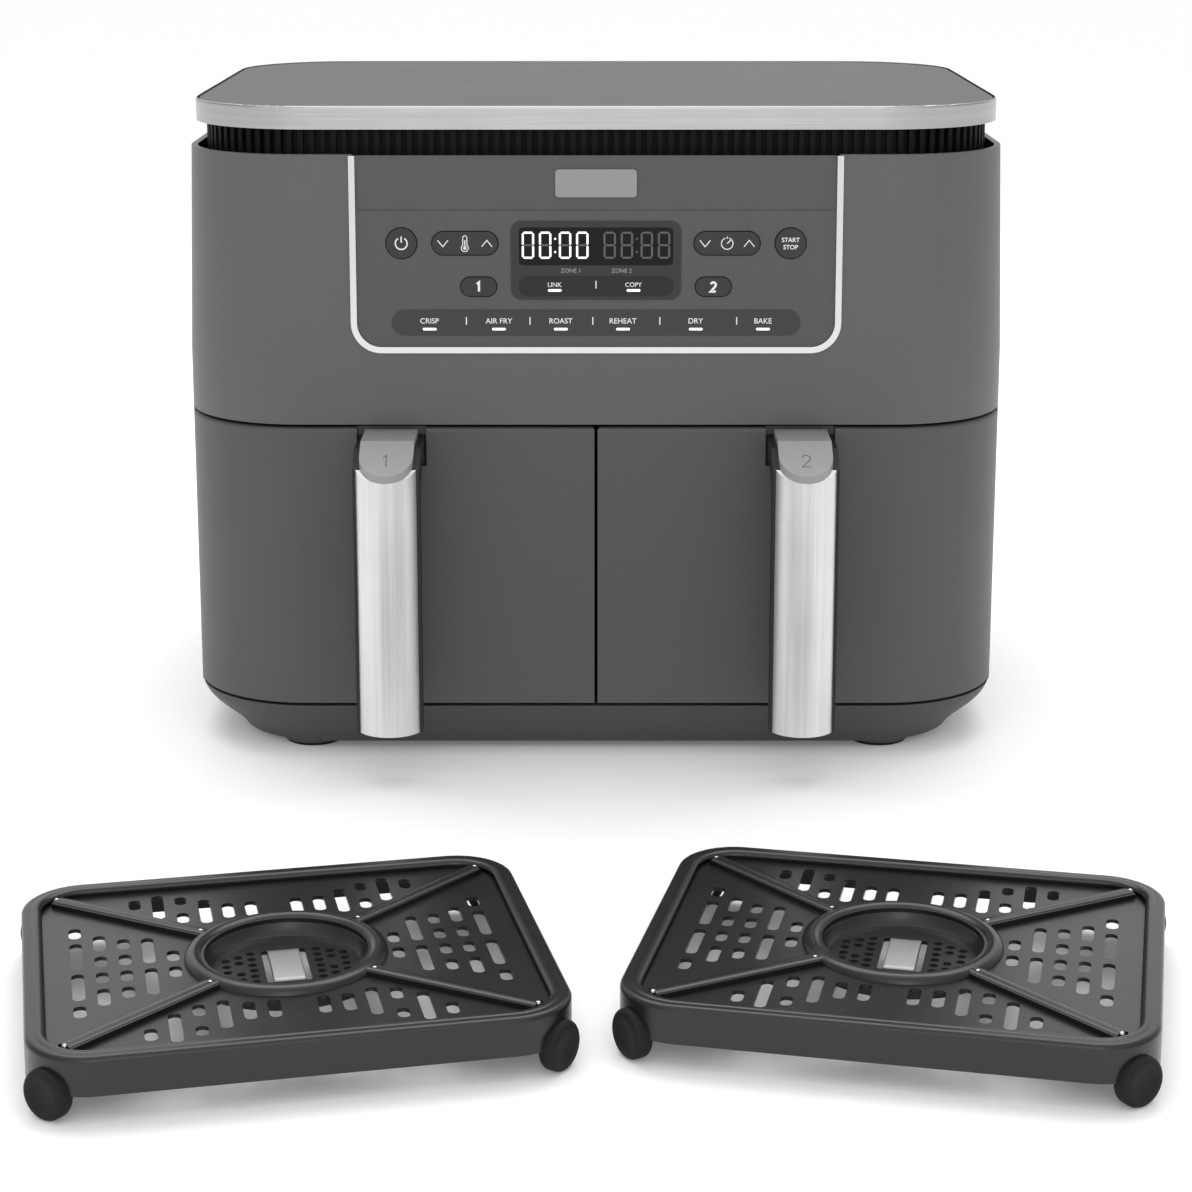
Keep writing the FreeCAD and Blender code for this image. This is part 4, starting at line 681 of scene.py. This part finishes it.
@dataclass
class Drawing:
    """Flat shapes on a plane, gathered into one thin printed piece.

    Attributes:
        place: Takes flat points to the frame; its own Z points out of the surface.
        shapes: What has been drawn.
        film: The ink's thickness.
    """

    place: Matrix
    shapes: bmesh.types.BMesh = field(default_factory=bmesh.new)
    film: float = 0.03 * MM

    def outline(self, points: Sequence[Point]) -> None:
        """Fill a closed outline.

        Args:
            points: Its corners in order.
        """
        corners = [self.shapes.verts.new(Vector((x, y, 0.0))) for x, y in points]
        self.shapes.faces.new(corners)

    def stroke(self, points: Sequence[Point], width: float, closed: bool = False) -> None:
        """Draw a line of even width with mitred corners.

        Args:
            points: The line's points.
            width: Its width.
            closed: Whether it joins up.
        """
        count = len(points)
        sides: list[tuple[Point, Point]] = []
        for i, (x, y) in enumerate(points):
            before = points[i - 1] if closed or i > 0 else points[i]
            after = points[(i + 1) % count] if closed or i < count - 1 else points[i]
            way_in = Vector((x - before[0], y - before[1]))
            way_out = Vector((after[0] - x, after[1] - y))
            way_in = way_in.normalized() if way_in.length > 0 else way_out.normalized()
            way_out = way_out.normalized() if way_out.length > 0 else way_in
            along = (way_in + way_out).normalized()
            reach = width / 2 / max(SHARPEST_MITRE, along.dot(way_in))
            sides.append(((x - along.y * reach, y + along.x * reach),
                          (x + along.y * reach, y - along.x * reach)))
        runs = count if closed else count - 1
        for i in range(runs):
            (left, right), (next_left, next_right) = sides[i], sides[(i + 1) % count]
            self.outline([left, right, next_right, next_left])

    def pill(self, centre: Point, width: float, height: float) -> None:
        """Fill a bar with round ends.

        Args:
            centre: Its centre.
            width: Its whole width.
            height: Its height.
        """
        half = width / 2 - height / 2
        right = arc((centre[0] + half, centre[1]), height / 2, -90, 90, 8)
        left = arc((centre[0] - half, centre[1]), height / 2, 90, 270, 8)
        self.outline(right + left)

    def word(self, text: str, centre: Point, height: float, weight: float = 0.0) -> None:
        """Set a word in plain sans letters.

        Args:
            text: The word.
            centre: The middle of its box.
            height: Its height.
            weight: How much the letters are thickened, as a share of their size.
        """
        curve = bpy.data.curves.new(text, "FONT")
        curve.body = text
        curve.size = 1.0
        curve.offset = weight
        carrier = bpy.data.objects.new(text, curve)
        mesh = bpy.data.meshes.new_from_object(carrier)
        spots = [vertex.co.copy() for vertex in mesh.vertices]
        low = [min(spot[axis] for spot in spots) for axis in (0, 1)]
        high = [max(spot[axis] for spot in spots) for axis in (0, 1)]
        size = height / (high[1] - low[1])
        corners = [self.shapes.verts.new(Vector((
            centre[0] + (spot.x - (low[0] + high[0]) / 2) * size,
            centre[1] + (spot.y - (low[1] + high[1]) / 2) * size, 0.0))) for spot in spots]
        for polygon in mesh.polygons:
            self.shapes.faces.new([corners[i] for i in polygon.vertices])
        bpy.data.objects.remove(carrier)
        bpy.data.curves.remove(curve)
        bpy.data.meshes.remove(mesh)

    def finish(self, name: str, finish: Finish, body: str, slot: str) -> bpy.types.Object:
        """Turn what is drawn into a thin film on the surface.

        Args:
            name: The piece's name.
            finish: Its finish.
            body: The body that it moves with.
            slot: Not used.

        Returns:
            The piece.
        """
        for face in self.shapes.faces:
            face.normal_update()
            if face.normal.z < 0:
                face.normal_flip()
        bmesh.ops.transform(self.shapes, matrix=self.place, verts=self.shapes.verts)
        made = piece(name, self.shapes, finish.material(), body)
        film = made.modifiers.new("Film", "SOLIDIFY")
        film.thickness = self.film
        film.offset = 1.0
        return made


def segments(drawing: Drawing, centre: Point, width: float, height: float, bar: float,
             shown: Iterable[int]) -> None:
    """Draw some of the seven bars of a digit.

    Args:
        drawing: Where to draw.
        centre: The digit's centre.
        width: Its width.
        height: Its height.
        bar: The thickness of a bar.
        shown: Which bars: 0 top, 1 middle, 2 foot, then 3 to 6 for the upright ones.
    """
    gap = bar * 0.18
    half, quarter = width / 2 - bar / 2, height / 4 - bar / 4
    bars = [((0.0, height / 2 - bar / 2), True), ((0.0, 0.0), True),
            ((0.0, bar / 2 - height / 2), True), ((-half, quarter), False),
            ((half, quarter), False), ((-half, -quarter), False), ((half, -quarter), False)]
    for index in shown:
        (x, y), level = bars[index]
        long = (half if level else quarter) - gap
        short = bar / 2
        tip = short * 0.8
        shape = [(-long, 0.0), (tip - long, -short), (long - tip, -short), (long, 0.0),
                 (long - tip, short), (tip - long, short)]
        if not level:
            shape = [(-v, u) for u, v in shape]
        drawing.outline([(centre[0] + x + u, centre[1] + y + v) for u, v in shape])


# --- the fryer's sub-assemblies ---

@dataclass
class Shell:
    """Every part of the model, dressed in the finish of its slot."""

    frame: dict[str, Any]
    made: dict[str, bpy.types.Material] = field(default_factory=dict)

    def dress(self) -> None:
        """Give each node the material of its slot, or its own one."""
        for entry in self.frame["record"]["subparts"]:
            node, slot = entry["node"], entry["material_slot"]
            finish = NODE_FINISHES.get(node, CAD_FINISHES[slot])
            if finish.name not in self.made:
                self.made[finish.name] = finish.material()
            mesh = self.frame["nodes"][node].data
            mesh.materials.clear()
            mesh.materials.append(self.made[finish.name])
            LOG.info("dressed %s in %s", node, finish.name)


@dataclass
class PanelPrint:
    """What is printed and lit on the leaning panel and its keys.

    The lifts are how far each surface stands out of the panel.
    """

    frame: dict[str, Any]
    key_lift: float = 0.8 * MM
    strip_lift: float = 0.4 * MM
    lens_lift: float = 0.6 * MM
    digit_width: float = 5.8 * MM
    digit_height: float = 12.7 * MM
    digit_bar: float = 0.95 * MM
    lamp_width: float = 6.5 * MM
    lamp_height: float = 1.2 * MM
    mark: float = 0.45 * MM
    letter_weight: float = 0.015
    word_weight: float = 0.006
    bar_half: float = 1.8 * MM
    reading_x: float = 19.1

    def joint(self, name: str) -> dict[str, Any]:
        """The record's joint of a name."""
        return next(j for j in self.frame["joints"] if j["name"] == name)

    def plane(self, x: float, z: float, lift: float) -> Matrix:
        """A flat frame on the panel.

        Args:
            x: Where its origin is across.
            z: Where its origin is in height.
            lift: How far it stands out of the panel.

        Returns:
            The frame, with X across, Y up the panel and Z out of it.
        """
        up = Vector(self.joint("time_key_rock")["axis"]).normalized()
        outward = -Vector(self.joint("power_key_press")["axis"]).normalized()
        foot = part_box("control_panel")[0].copy()
        origin = foot + up * ((z - foot.z) / up.z) + outward * (lift + PRINT_GAP)
        origin.x = x
        return Matrix.Translation(origin) @ Matrix((
            (1.0, up.x, outward.x), (0.0, up.y, outward.y), (0.0, up.z, outward.z))).to_4x4()

    def middle(self, node: str) -> tuple[float, float]:
        """The middle of a node, across and in height."""
        low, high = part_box(node)
        return (low.x + high.x) / 2, (low.z + high.z) / 2

    def on(self, node: str, lift: float) -> Drawing:
        """A drawing whose origin is the middle of a node."""
        return Drawing(self.plane(*self.middle(node), lift))

    def power(self) -> None:
        """The power mark: a broken ring and an upright."""
        drawing = self.on("power_key", self.key_lift)
        drawing.stroke(arc((0.0, 0.0), 2.75 * MM, 122, 418, 40), 0.62 * MM)
        drawing.stroke([(0.0, 0.4 * MM), (0.0, 3.3 * MM)], 0.62 * MM)
        drawing.finish("power_mark", GLOWING_PRINT_WHITE, "power_key_body", "key_grey")

    def start(self) -> None:
        """Two short words on the start and stop key."""
        drawing = self.on("start_stop_key", self.key_lift)
        drawing.word("START", (0.0, 1.7 * MM), 2.1 * MM, self.letter_weight)
        drawing.word("STOP", (0.0, -1.7 * MM), 2.1 * MM, self.letter_weight)
        drawing.finish("start_stop_mark", GLOWING_PRINT_WHITE, "start_stop_key_body", "key_grey")

    def chevrons(self, drawing: Drawing) -> None:
        """Down and up arrows at a rocker's ends.

        Args:
            drawing: Where to draw.
        """
        for side in (-1, 1):
            tip = side * 1.5 * MM
            x = side * 10.3 * MM
            drawing.stroke([(x - 2.45 * MM, -tip), (x, tip), (x + 2.45 * MM, -tip)], self.mark)

    def temperature(self) -> None:
        """A thermometer between two arrows."""
        drawing = self.on("temperature_key", self.key_lift)
        self.chevrons(drawing)
        stem, bulb, foot = 0.95 * MM, 1.65 * MM, -2.1 * MM
        spread = math.degrees(math.asin(stem / bulb))
        round_top = arc((0.0, 2.7 * MM), stem, 0, 180, 12)
        round_foot = arc((0.0, foot), bulb, 90 + spread, 450 - spread, 24)
        drawing.stroke(round_top + round_foot, 0.4 * MM, closed=True)
        drawing.outline(arc((0.0, foot), 0.8 * MM, *DISC_TURN))
        drawing.stroke([(0.0, foot), (0.0, 1.6 * MM)], 0.5 * MM)
        drawing.finish("temperature_mark", GLOWING_PRINT_WHITE, "temperature_key_body", "key_grey")

    def clock(self) -> None:
        """A timer's dial between two arrows."""
        drawing = self.on("time_key", self.key_lift)
        self.chevrons(drawing)
        drawing.stroke(arc((0.0, 0.0), 2.7 * MM, 110, 430, 40), 0.42 * MM)
        drawing.stroke([(0.0, 0.0), (1.6 * MM, 1.6 * MM)], 0.5 * MM)
        drawing.stroke([(0.0, 2.2 * MM), (0.0, 3.3 * MM)], 0.42 * MM)
        drawing.finish("time_mark", GLOWING_PRINT_WHITE, "time_key_body", "key_grey")

    def zones(self) -> None:
        """The zone keys' numbers."""
        for zone in (1, 2):
            drawing = self.on(f"zone_{zone}_key", self.key_lift)
            drawing.stroke(numeral(zone, 4.3 * MM), 1.05 * MM)
            drawing.finish(f"zone_{zone}_mark", GLOWING_PRINT_WHITE, f"zone_{zone}_key_body", "key_grey")

    def digits(self) -> None:
        """Two readings of four digits: the left one lit, the right one dim."""
        for side, outer, name in ((-1, LAMP_WHITE, "lit"), (1, LAMP_DIM, "dim")):
            lit = self.on("display_lens", self.lens_lift)
            dim = self.on("display_lens", self.lens_lift)
            for step in (-12.7, -4.65, 4.65, 12.7):
                spot = ((side * self.reading_x + step) * MM, 0.6 * MM)
                size = (self.digit_width, self.digit_height, self.digit_bar)
                segments(lit, spot, *size, (0, 2, 3, 4, 5, 6))
                segments(dim, spot, *size, (1,))
            for y in (3.6, -2.6):
                lit.outline(arc((side * self.reading_x * MM, y * MM), 0.5 * MM, *DISC_TURN))
            lit.finish(f"reading_{name}", outer, "housing", "display_black")
            dim.finish(f"reading_{name}_middle", LAMP_DIM, "housing", "display_black")

    def captions(self) -> None:
        """Captions under the readings."""
        x = self.middle("display_lens")[0]
        drawing = Drawing(self.plane(x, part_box("touch_bar")[1].z + 2.4 * MM, self.strip_lift))
        drawing.word("ZONE 1", (-12.0 * MM, 0.0), 1.9 * MM)
        drawing.word("ZONE 2", (12.0 * MM, 0.0), 1.9 * MM)
        drawing.finish("captions", CAPTION_GREY, "housing", "display_black")

    def labelled(self, node: str, lift: float, labels: Sequence[tuple[str, float]],
                 bars: Sequence[float], height: float, rise: float, drop: float) -> None:
        """A row of words with a lamp under each and an upright bar between them.

        Args:
            node: The strip that they are on.
            lift: How far it stands out of the panel.
            labels: Each word and where it is across, in millimetres.
            bars: Where the upright bars are, in millimetres.
            height: The words' height.
            rise: How far the words are above the strip's middle.
            drop: How far the lamps are below it.
        """
        words, lamps = self.on(node, lift), self.on(node, lift)
        for text, x in labels:
            words.word(text, (x * MM, rise), height, self.word_weight)
            lamps.pill((x * MM, -drop), self.lamp_width, self.lamp_height)
        for x in bars:
            words.stroke([(x * MM, rise - self.bar_half), (x * MM, rise + self.bar_half)],
                         0.5 * MM)
        words.finish(f"{node}_words", GLOWING_PRINT_WHITE, "housing", "strip_grey")
        lamps.finish(f"{node}_lamps", LAMP_WHITE, "housing", "strip_grey")

    def build(self) -> None:
        """Draw everything on the panel."""
        self.power()
        self.start()
        self.temperature()
        self.clock()
        self.zones()
        self.digits()
        self.captions()
        self.labelled("touch_bar", self.lens_lift, (("LINK", -19.3), ("COPY", 17.6)), (0.0,),
                      2.1 * MM, 0.7 * MM, 2.0 * MM)
        self.labelled("function_strip", self.strip_lift,
                      (("CRISP", -78.2), ("AIR FRY", -45.6), ("ROAST", -16.5),
                       ("REHEAT", 12.7), ("DRY", 46.9), ("BAKE", 78.5)),
                      (-60.9, -31.0, -1.5, 30.0, 66.1), 2.5 * MM, 0.9 * MM, 3.0 * MM)


def numeral(zone: int, tall: float) -> list[Point]:
    """A zone's number as one line.

    Args:
        zone: The number.
        tall: Its height.

    Returns:
        Its points, about its middle, close enough together to follow a curved face.
    """
    half = tall / 2
    if zone == 1:
        corners = [(-0.2 * tall, half * 0.62), (0.04 * tall, half), (0.04 * tall, -half)]
    else:
        bow = arc((0.0, half - 0.27 * tall), 0.27 * tall, 165, -35, 14)
        corners = bow + [(-0.28 * tall, -half), (0.28 * tall, -half)]
    fine = [corners[0]]
    for start, end in zip(corners, corners[1:]):
        runs = max(1, round(math.dist(start, end) / (0.7 * MM)))
        fine += [(start[0] + (end[0] - start[0]) * i / runs,
                  start[1] + (end[1] - start[1]) * i / runs) for i in range(1, runs + 1)]
    return fine


@dataclass
class HandleNumeral:
    """The zone's number on the front of a handle's cap: a dark film on the surface, painted
    shade standing in for a sunk number.
    """

    zone: int
    height: float = 7.0 * MM
    setback: float = 9.5 * MM
    stroke: float = 0.5 * MM
    above: float = 10.0 * MM

    def build(self, nodes: dict[str, bpy.types.Object]) -> None:
        """Lay the number on the cap's curved top.

        Args:
            nodes: The model's nodes.
        """
        name = f"handle_cap_{self.zone}"
        low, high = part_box(name)
        cap = nodes[name].data
        tree = BVHTree.FromPolygons([v.co for v in cap.vertices],
                                    [tuple(p.vertices) for p in cap.polygons])
        drawing = Drawing(Matrix.Identity(4))
        drawing.stroke(numeral(self.zone, self.height), self.stroke)
        for vertex in drawing.shapes.verts:
            spot = Vector(((low.x + high.x) / 2 + vertex.co.x,
                           low.y + self.setback + vertex.co.y, high.z + self.above))
            hit = tree.ray_cast(spot, Vector((0.0, 0.0, -1.0)))[0]
            vertex.co = Vector((spot.x, spot.y, hit.z + PRINT_GAP))
        # The number is a dark film on the cap, painted shade for a sunk number.
        drawing.finish(f"handle_numeral_{self.zone}", NUMERAL_PAINTED_SHADE, f"drawer_{self.zone}",
                       "cap_grey")


@dataclass
class PlateDress:
    """What is made for a loose crisper plate, in the plate's own sizes.

    Attributes:
        zone: Which plate, 1 or 2.
        side: -1 for the left one and 1 for the right one.
        turn: How far it is turned on the counter, in degrees.
    """

    zone: int
    side: int
    length: float = 196.0 * MM
    width: float = 164.0 * MM
    corner: float = 24.0 * MM
    turn: float = 12.3

    def lay(self, name: str, shape: bmesh.types.BMesh, finish: Finish, slot: str,
            face_out: bool = True) -> bpy.types.Object:
        """Lay a shape made about the plate's middle on the turned plate.

        Args:
            name: What it is called, before the zone.
            shape: The shape, which is used up.
            finish: Its finish.
            slot: Not used.
            face_out: Whether its faces still have to be turned outwards.

        Returns:
            The piece.
        """
        low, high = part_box(f"crisper_plate_{self.zone}")
        middle = (low + high) / 2
        stand = Matrix.Translation((middle.x, middle.y, 0.0)) @ Matrix.Rotation(
            math.radians(-self.side * self.turn), 4, "Z")
        bmesh.ops.transform(shape, matrix=stand, verts=shape.verts)
        if face_out:
            bmesh.ops.recalc_face_normals(shape, faces=shape.faces)
        return piece(f"{name}_{self.zone}", shape, finish.material(), f"plate_{self.zone}",
                     smooth=True)


@dataclass
class PlateBumpers(PlateDress):
    """The rubber bumpers at the corners of a loose crisper plate."""

    radius: float = 9.5 * MM
    inside: float = 4.5 * MM
    thickness: float = 7.5 * MM
    rounding: float = 2.4 * MM
    dish: float = 0.7 * MM

    def profile(self) -> list[Point]:
        """The bumper's half section, from its inner end to its dished face.

        Returns:
            Pairs of radius and distance along its axis.
        """
        inner = arc((self.radius - self.rounding, self.rounding), self.rounding, -90, 0, 6)
        outer = arc((self.radius - self.rounding, self.thickness - self.rounding),
                    self.rounding, 0, 90, 6)
        floor = self.thickness - self.dish
        face = [(self.radius * 0.5, self.thickness - self.dish * 0.5),
                (self.radius * 0.42, floor), (0.0, floor)]
        return [(0.0, 0.0)] + inner + outer + face

    def build(self) -> None:
        """Turn four bumpers and put them at the plate's corners."""
        shape = bmesh.new()
        for x, y in QUARTERS:
            outward = Vector((x, y, 0.0)).normalized()
            spot = Vector((x * (self.length / 2 - self.corner),
                           y * (self.width / 2 - self.corner), self.radius))
            spot += outward * (self.corner - self.inside)
            facing = outward.to_track_quat("Z", "Y").to_matrix().to_4x4()
            lathe(shape, self.profile(), Matrix.Translation(spot) @ facing)
        made = self.lay("bumper_set", shape, CAD_FINISHES["rubber"], "rubber")
        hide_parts(f"plate_bumpers_{self.zone}")


@dataclass
class PlatePressing(PlateDress):
    """The rounded beads pressed in a loose crisper plate, its strap and its rivets.

    Heights are above the counter.
    """

    top: float = 24.5 * MM
    face: float = 21.5 * MM
    rib_top: float = 23.3 * MM
    floor: float = 17.05 * MM
    rim_inset: float = 5.2 * MM
    rim_half: float = 2.6 * MM
    rib_half: float = 2.9 * MM
    rib_rise: float = 1.1 * MM
    rib_stop: float = 0.58
    ring: float = 38.0 * MM
    strap_width: float = 12.0 * MM
    strap_length: float = 29.0 * MM
    rivet: float = 1.1 * MM

    def sweep(self, shape: bmesh.types.BMesh, path: Sequence[Point], base: float, rise: float,
              half: float, closed: bool) -> None:
        """Sweep a low rounded bead along a flat path.

        Args:
            shape: The shape to add to.
            path: The path's points on the plate.
            base: The height of the bead's foot.
            rise: How far it rises from there.
            half: Half its width.
            closed: Whether the path joins up.
        """
        count = len(path)
        section = [(-math.cos(math.pi * i / 8), math.sin(math.pi * i / 8)) for i in range(9)]
        rings = []
        for i, (x, y) in enumerate(path):
            before = Vector(path[i - 1] if closed or i else path[i])
            after = Vector(path[(i + 1) % count] if closed or i < count - 1 else path[i])
            along = (after - before).normalized()
            rings.append([shape.verts.new(Vector((x - along.y * u * half, y + along.x * u * half,
                                                  base + v * rise))) for u, v in section])
        for i in range(count if closed else count - 1):
            here, there = rings[i], rings[(i + 1) % count]
            for k in range(8):
                shape.faces.new([here[k], here[k + 1], there[k + 1], there[k]])

    def rib_ends(self) -> list[tuple[Vector, Vector]]:
        """Each diagonal rib's inner and outer ends.

        Returns:
            Four pairs of points on the plate.
        """
        inset = self.corner * self.rib_stop
        fars = [Vector((x * (self.length / 2 - inset), y * (self.width / 2 - inset)))
                for x, y in QUARTERS]
        return [(far.normalized() * (self.ring - 1.0 * MM), far) for far in fars]

    def beads(self) -> None:
        """The bead round the rim, the four ribs and the ring with its bowl."""
        shape = bmesh.new()
        rim = rounded(self.length / 2 - self.rim_inset, self.width / 2 - self.rim_inset,
                      self.corner - self.rim_inset, 10)
        self.sweep(shape, rim, self.top - 1.6 * MM, 1.9 * MM, self.rim_half, True)
        for near, far in self.rib_ends():
            path = [tuple(near.lerp(far, i / 12)) for i in range(13)]
            self.sweep(shape, path, self.rib_top - 0.3 * MM, self.rib_rise, self.rib_half, False)
        bowl = [(self.ring - inward * MM, self.top + rise * MM) for inward, rise in (
            (1.6, -0.35), (3.2, 0.1), (4.9, -0.35), (6.5, -1.8), (7.5, -4.0))]
        profile = [(self.ring + 0.6 * MM, self.face), (self.ring, self.rib_top), *bowl,
                   (self.ring - 8.6 * MM, self.floor + 1.2 * MM),
                   (self.ring - 10.0 * MM, self.floor)]
        lathe(shape, profile, Matrix.Identity(4), 72)
        self.lay("plate_beads", shape, CAD_FINISHES["nonstick"], "nonstick")

    def strap(self) -> None:
        """A bare metal strap across the window in the bowl, slightly bowed."""
        shape = bmesh.new()
        rows = []
        for i in range(13):
            along = -0.5 + i / 12
            bow = 0.9 * MM * (1 - (2 * along) ** 2)
            rows.append([shape.verts.new((across * self.strap_width, along * self.strap_length,
                                          self.floor + 0.1 * MM + bow))
                         for across in (-0.5, -0.44, 0.44, 0.5)])
        for low, high in zip(rows, rows[1:]):
            for k in range(3):
                shape.faces.new([low[k], low[k + 1], high[k + 1], high[k]])
        made = self.lay("plate_strap", shape, STRAP_METAL, "aluminised_steel", face_out=False)
        made.modifiers.new("Sheet", "SOLIDIFY").thickness = 0.5 * MM

    def rivets(self) -> None:
        """Small bright domes at both ends of each rib."""
        shape = bmesh.new()
        dome = [(self.rivet * out, self.rivet * rise)
                for out, rise in ((1.0, 0.0), (0.85, 0.45), (0.45, 0.7), (0.0, 0.78))]
        for near, far in self.rib_ends():
            for spot in (near.normalized() * (self.ring + 1.2 * MM), far):
                lathe(shape, dome, Matrix.Translation((spot.x, spot.y, self.rib_top + 0.2 * MM)),
                      20)
        self.lay("plate_rivets", shape, CAD_FINISHES["screw_zinc"], "screw_zinc")

    def build(self) -> None:
        """Make the beads, the strap and the rivets."""
        self.beads()
        self.strap()
        self.rivets()


@dataclass
class RearFittings:
    """Screws at the rear vent's cover, and a blank foil plate."""

    screw_radius: float = 3.1 * MM
    screw_height: float = 0.9 * MM
    inset: float = 5.5 * MM
    foil_width: float = 62.0 * MM
    foil_height: float = 30.0 * MM
    foil_corner: float = 3.0 * MM
    foil_drop: float = 30.0 * MM
    foil_thickness: float = 0.25 * MM

    def screws(self) -> None:
        """Four domed screws, each with a round socket."""
        low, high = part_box("rear_vent_cover")
        shape = bmesh.new()
        domed = [(self.screw_radius * out, self.screw_height * rise)
                 for out, rise in ((0.0, 0.0), (1.0, 0.0), (1.0, 0.4), (0.75, 0.85), (0.3, 1.0),
                                   (0.22, 0.3), (0.0, 0.3))]
        rearward = Matrix.Rotation(math.radians(-90), 4, "X")
        for x in (low.x + self.inset, high.x - self.inset):
            for z in (low.z + self.inset, high.z - self.inset):
                lathe(shape, domed, Matrix.Translation((x, high.y, z)) @ rearward, 24)
        bmesh.ops.recalc_face_normals(shape, faces=shape.faces)
        piece("rear_cover_screws", shape, CAD_FINISHES["screw_zinc"].material(), "housing",
              smooth=True)

    def foil(self) -> None:
        """A blank foil plate with round corners beside the vent."""
        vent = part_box("rear_vent_cover")[0]
        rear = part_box("housing_shell")[1].y
        centre = Vector((vent.x - self.foil_width * 0.75, rear, vent.z - self.foil_drop))
        facing = Matrix.Translation(centre) @ Matrix(((-1, 0, 0), (0, 0, 1), (0, 1, 0))).to_4x4()
        drawing = Drawing(facing, film=self.foil_thickness)
        drawing.outline(rounded(self.foil_width / 2, self.foil_height / 2, self.foil_corner, 6))
        drawing.finish("rating_foil", LABEL_FOIL, "housing", "screw_zinc")

    def build(self) -> None:
        """Make the screws and the foil."""
        self.screws()
        self.foil()


@dataclass(frozen=True)
class Lamp:
    """A soft rectangular light.

    Attributes:
        name: Its name.
        offset: Where it hangs, from what it faces.
        size: Its width and height.
        power: Its power in watts.
    """

    name: str
    offset: Colour
    size: Point
    power: float

    def hang(self, aim: Vector) -> None:
        """Hang the light.

        Args:
            aim: What it faces.
        """
        light = bpy.data.lights.new(self.name, "AREA")
        light.shape = "RECTANGLE"
        light.size, light.size_y = self.size
        light.energy = self.power
        made = bpy.data.objects.new(self.name, light)
        made.location = aim + Vector(self.offset)
        made.rotation_euler = (-Vector(self.offset)).to_track_quat("-Z", "Y").to_euler()
        bpy.context.scene.collection.objects.link(made)


@dataclass
class Studio:
    """The pale floor, the soft lights and the camera."""

    distance: float = 1.386
    height: float = 0.427
    pitch: float = 12.58
    lens: float = 80.35
    sensor: float = 36.0
    shift: float = -0.12
    floor_half: float = 30.0
    paper: Colour = (0.92, 0.92, 0.92)
    sky: float = 1.12
    side_dim: float = 0.55
    dim_from: float = 0.35
    dim_to: float = 0.9
    overhead: Lamp = Lamp("overhead", (0.0, 0.5, 1.7), (2.2, 1.2), 22.0)
    front_fill: Lamp = Lamp("front_fill", (0.0, -2.4, 0.9), (0.8, 1.2), 5.0)

    def floor(self) -> None:
        """A wide paper floor."""
        shape = bmesh.new()
        half = self.floor_half
        ends = ((-half, -half), (half, -half), (half, half), (-half, half))
        shape.faces.new([shape.verts.new((x, y, 0.0)) for x, y in ends])
        link_mesh("paper_floor", shape, Backdrop("paper", self.paper).material())

    def light(self) -> None:
        """Light the set from all round, more from above and in front."""
        world = bpy.data.worlds.new("studio")
        bpy.context.scene.world = world
        graph = Graph(world, "Background")
        way = graph.node("ShaderNodeTexCoord", {}, {}, "Generated")
        across = graph.node("ShaderNodeSeparateXYZ", {}, {0: way}, "X")
        away = graph.node("ShaderNodeMath", {"operation": "ABSOLUTE"}, {0: across})
        graph.dress(Color=WHITE,
                    Strength=away.rise(self.dim_from, self.dim_to, self.sky, self.side_dim))
        low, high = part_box("housing_shell")
        for lamp in (self.overhead, self.front_fill):
            lamp.hang((low + high) / 2)

    def camera(self) -> None:
        """Stand the camera in front, looking down at the set."""
        low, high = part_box("housing_shell")
        data = bpy.data.cameras.new("camera")
        data.lens = self.lens
        data.sensor_width = self.sensor
        data.shift_y = self.shift
        data.clip_end = 100.0
        made = bpy.data.objects.new("camera", data)
        made.location = (0.0, (low.y + high.y) / 2 - self.distance, self.height)
        made.rotation_euler = (math.radians(90.0 - self.pitch), 0.0, 0.0)
        bpy.context.scene.collection.objects.link(made)
        bpy.context.scene.camera = made

    def build(self) -> None:
        """Set up the whole studio, shown in its plain colours."""
        self.camera()
        self.floor()
        self.light()
        bpy.context.scene.view_settings.view_transform = "Standard"


def clear() -> None:
    """Empty the scene that Blender starts with."""
    for made in list(bpy.data.objects):
        bpy.data.objects.remove(made)


def corners(box: tuple[Vector, Vector]) -> list[list[float]]:
    """A box as plain lists of numbers."""
    return [list(corner) for corner in box]


def main() -> None:
    """Build the scene, class by class."""
    logging.basicConfig(level=logging.INFO, format="%(name)s: %(message)s")
    clear()
    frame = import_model()
    Studio().build()
    Shell(frame).dress()
    PanelPrint(frame).build()
    for zone, side in ((1, -1), (2, 1)):
        HandleNumeral(zone).build(frame["nodes"])
        PlateBumpers(zone, side).build()
        PlatePressing(zone, side).build()
    RearFittings().build()
    bpy.context.view_layer.update()


if __name__ == "__main__":
    main()
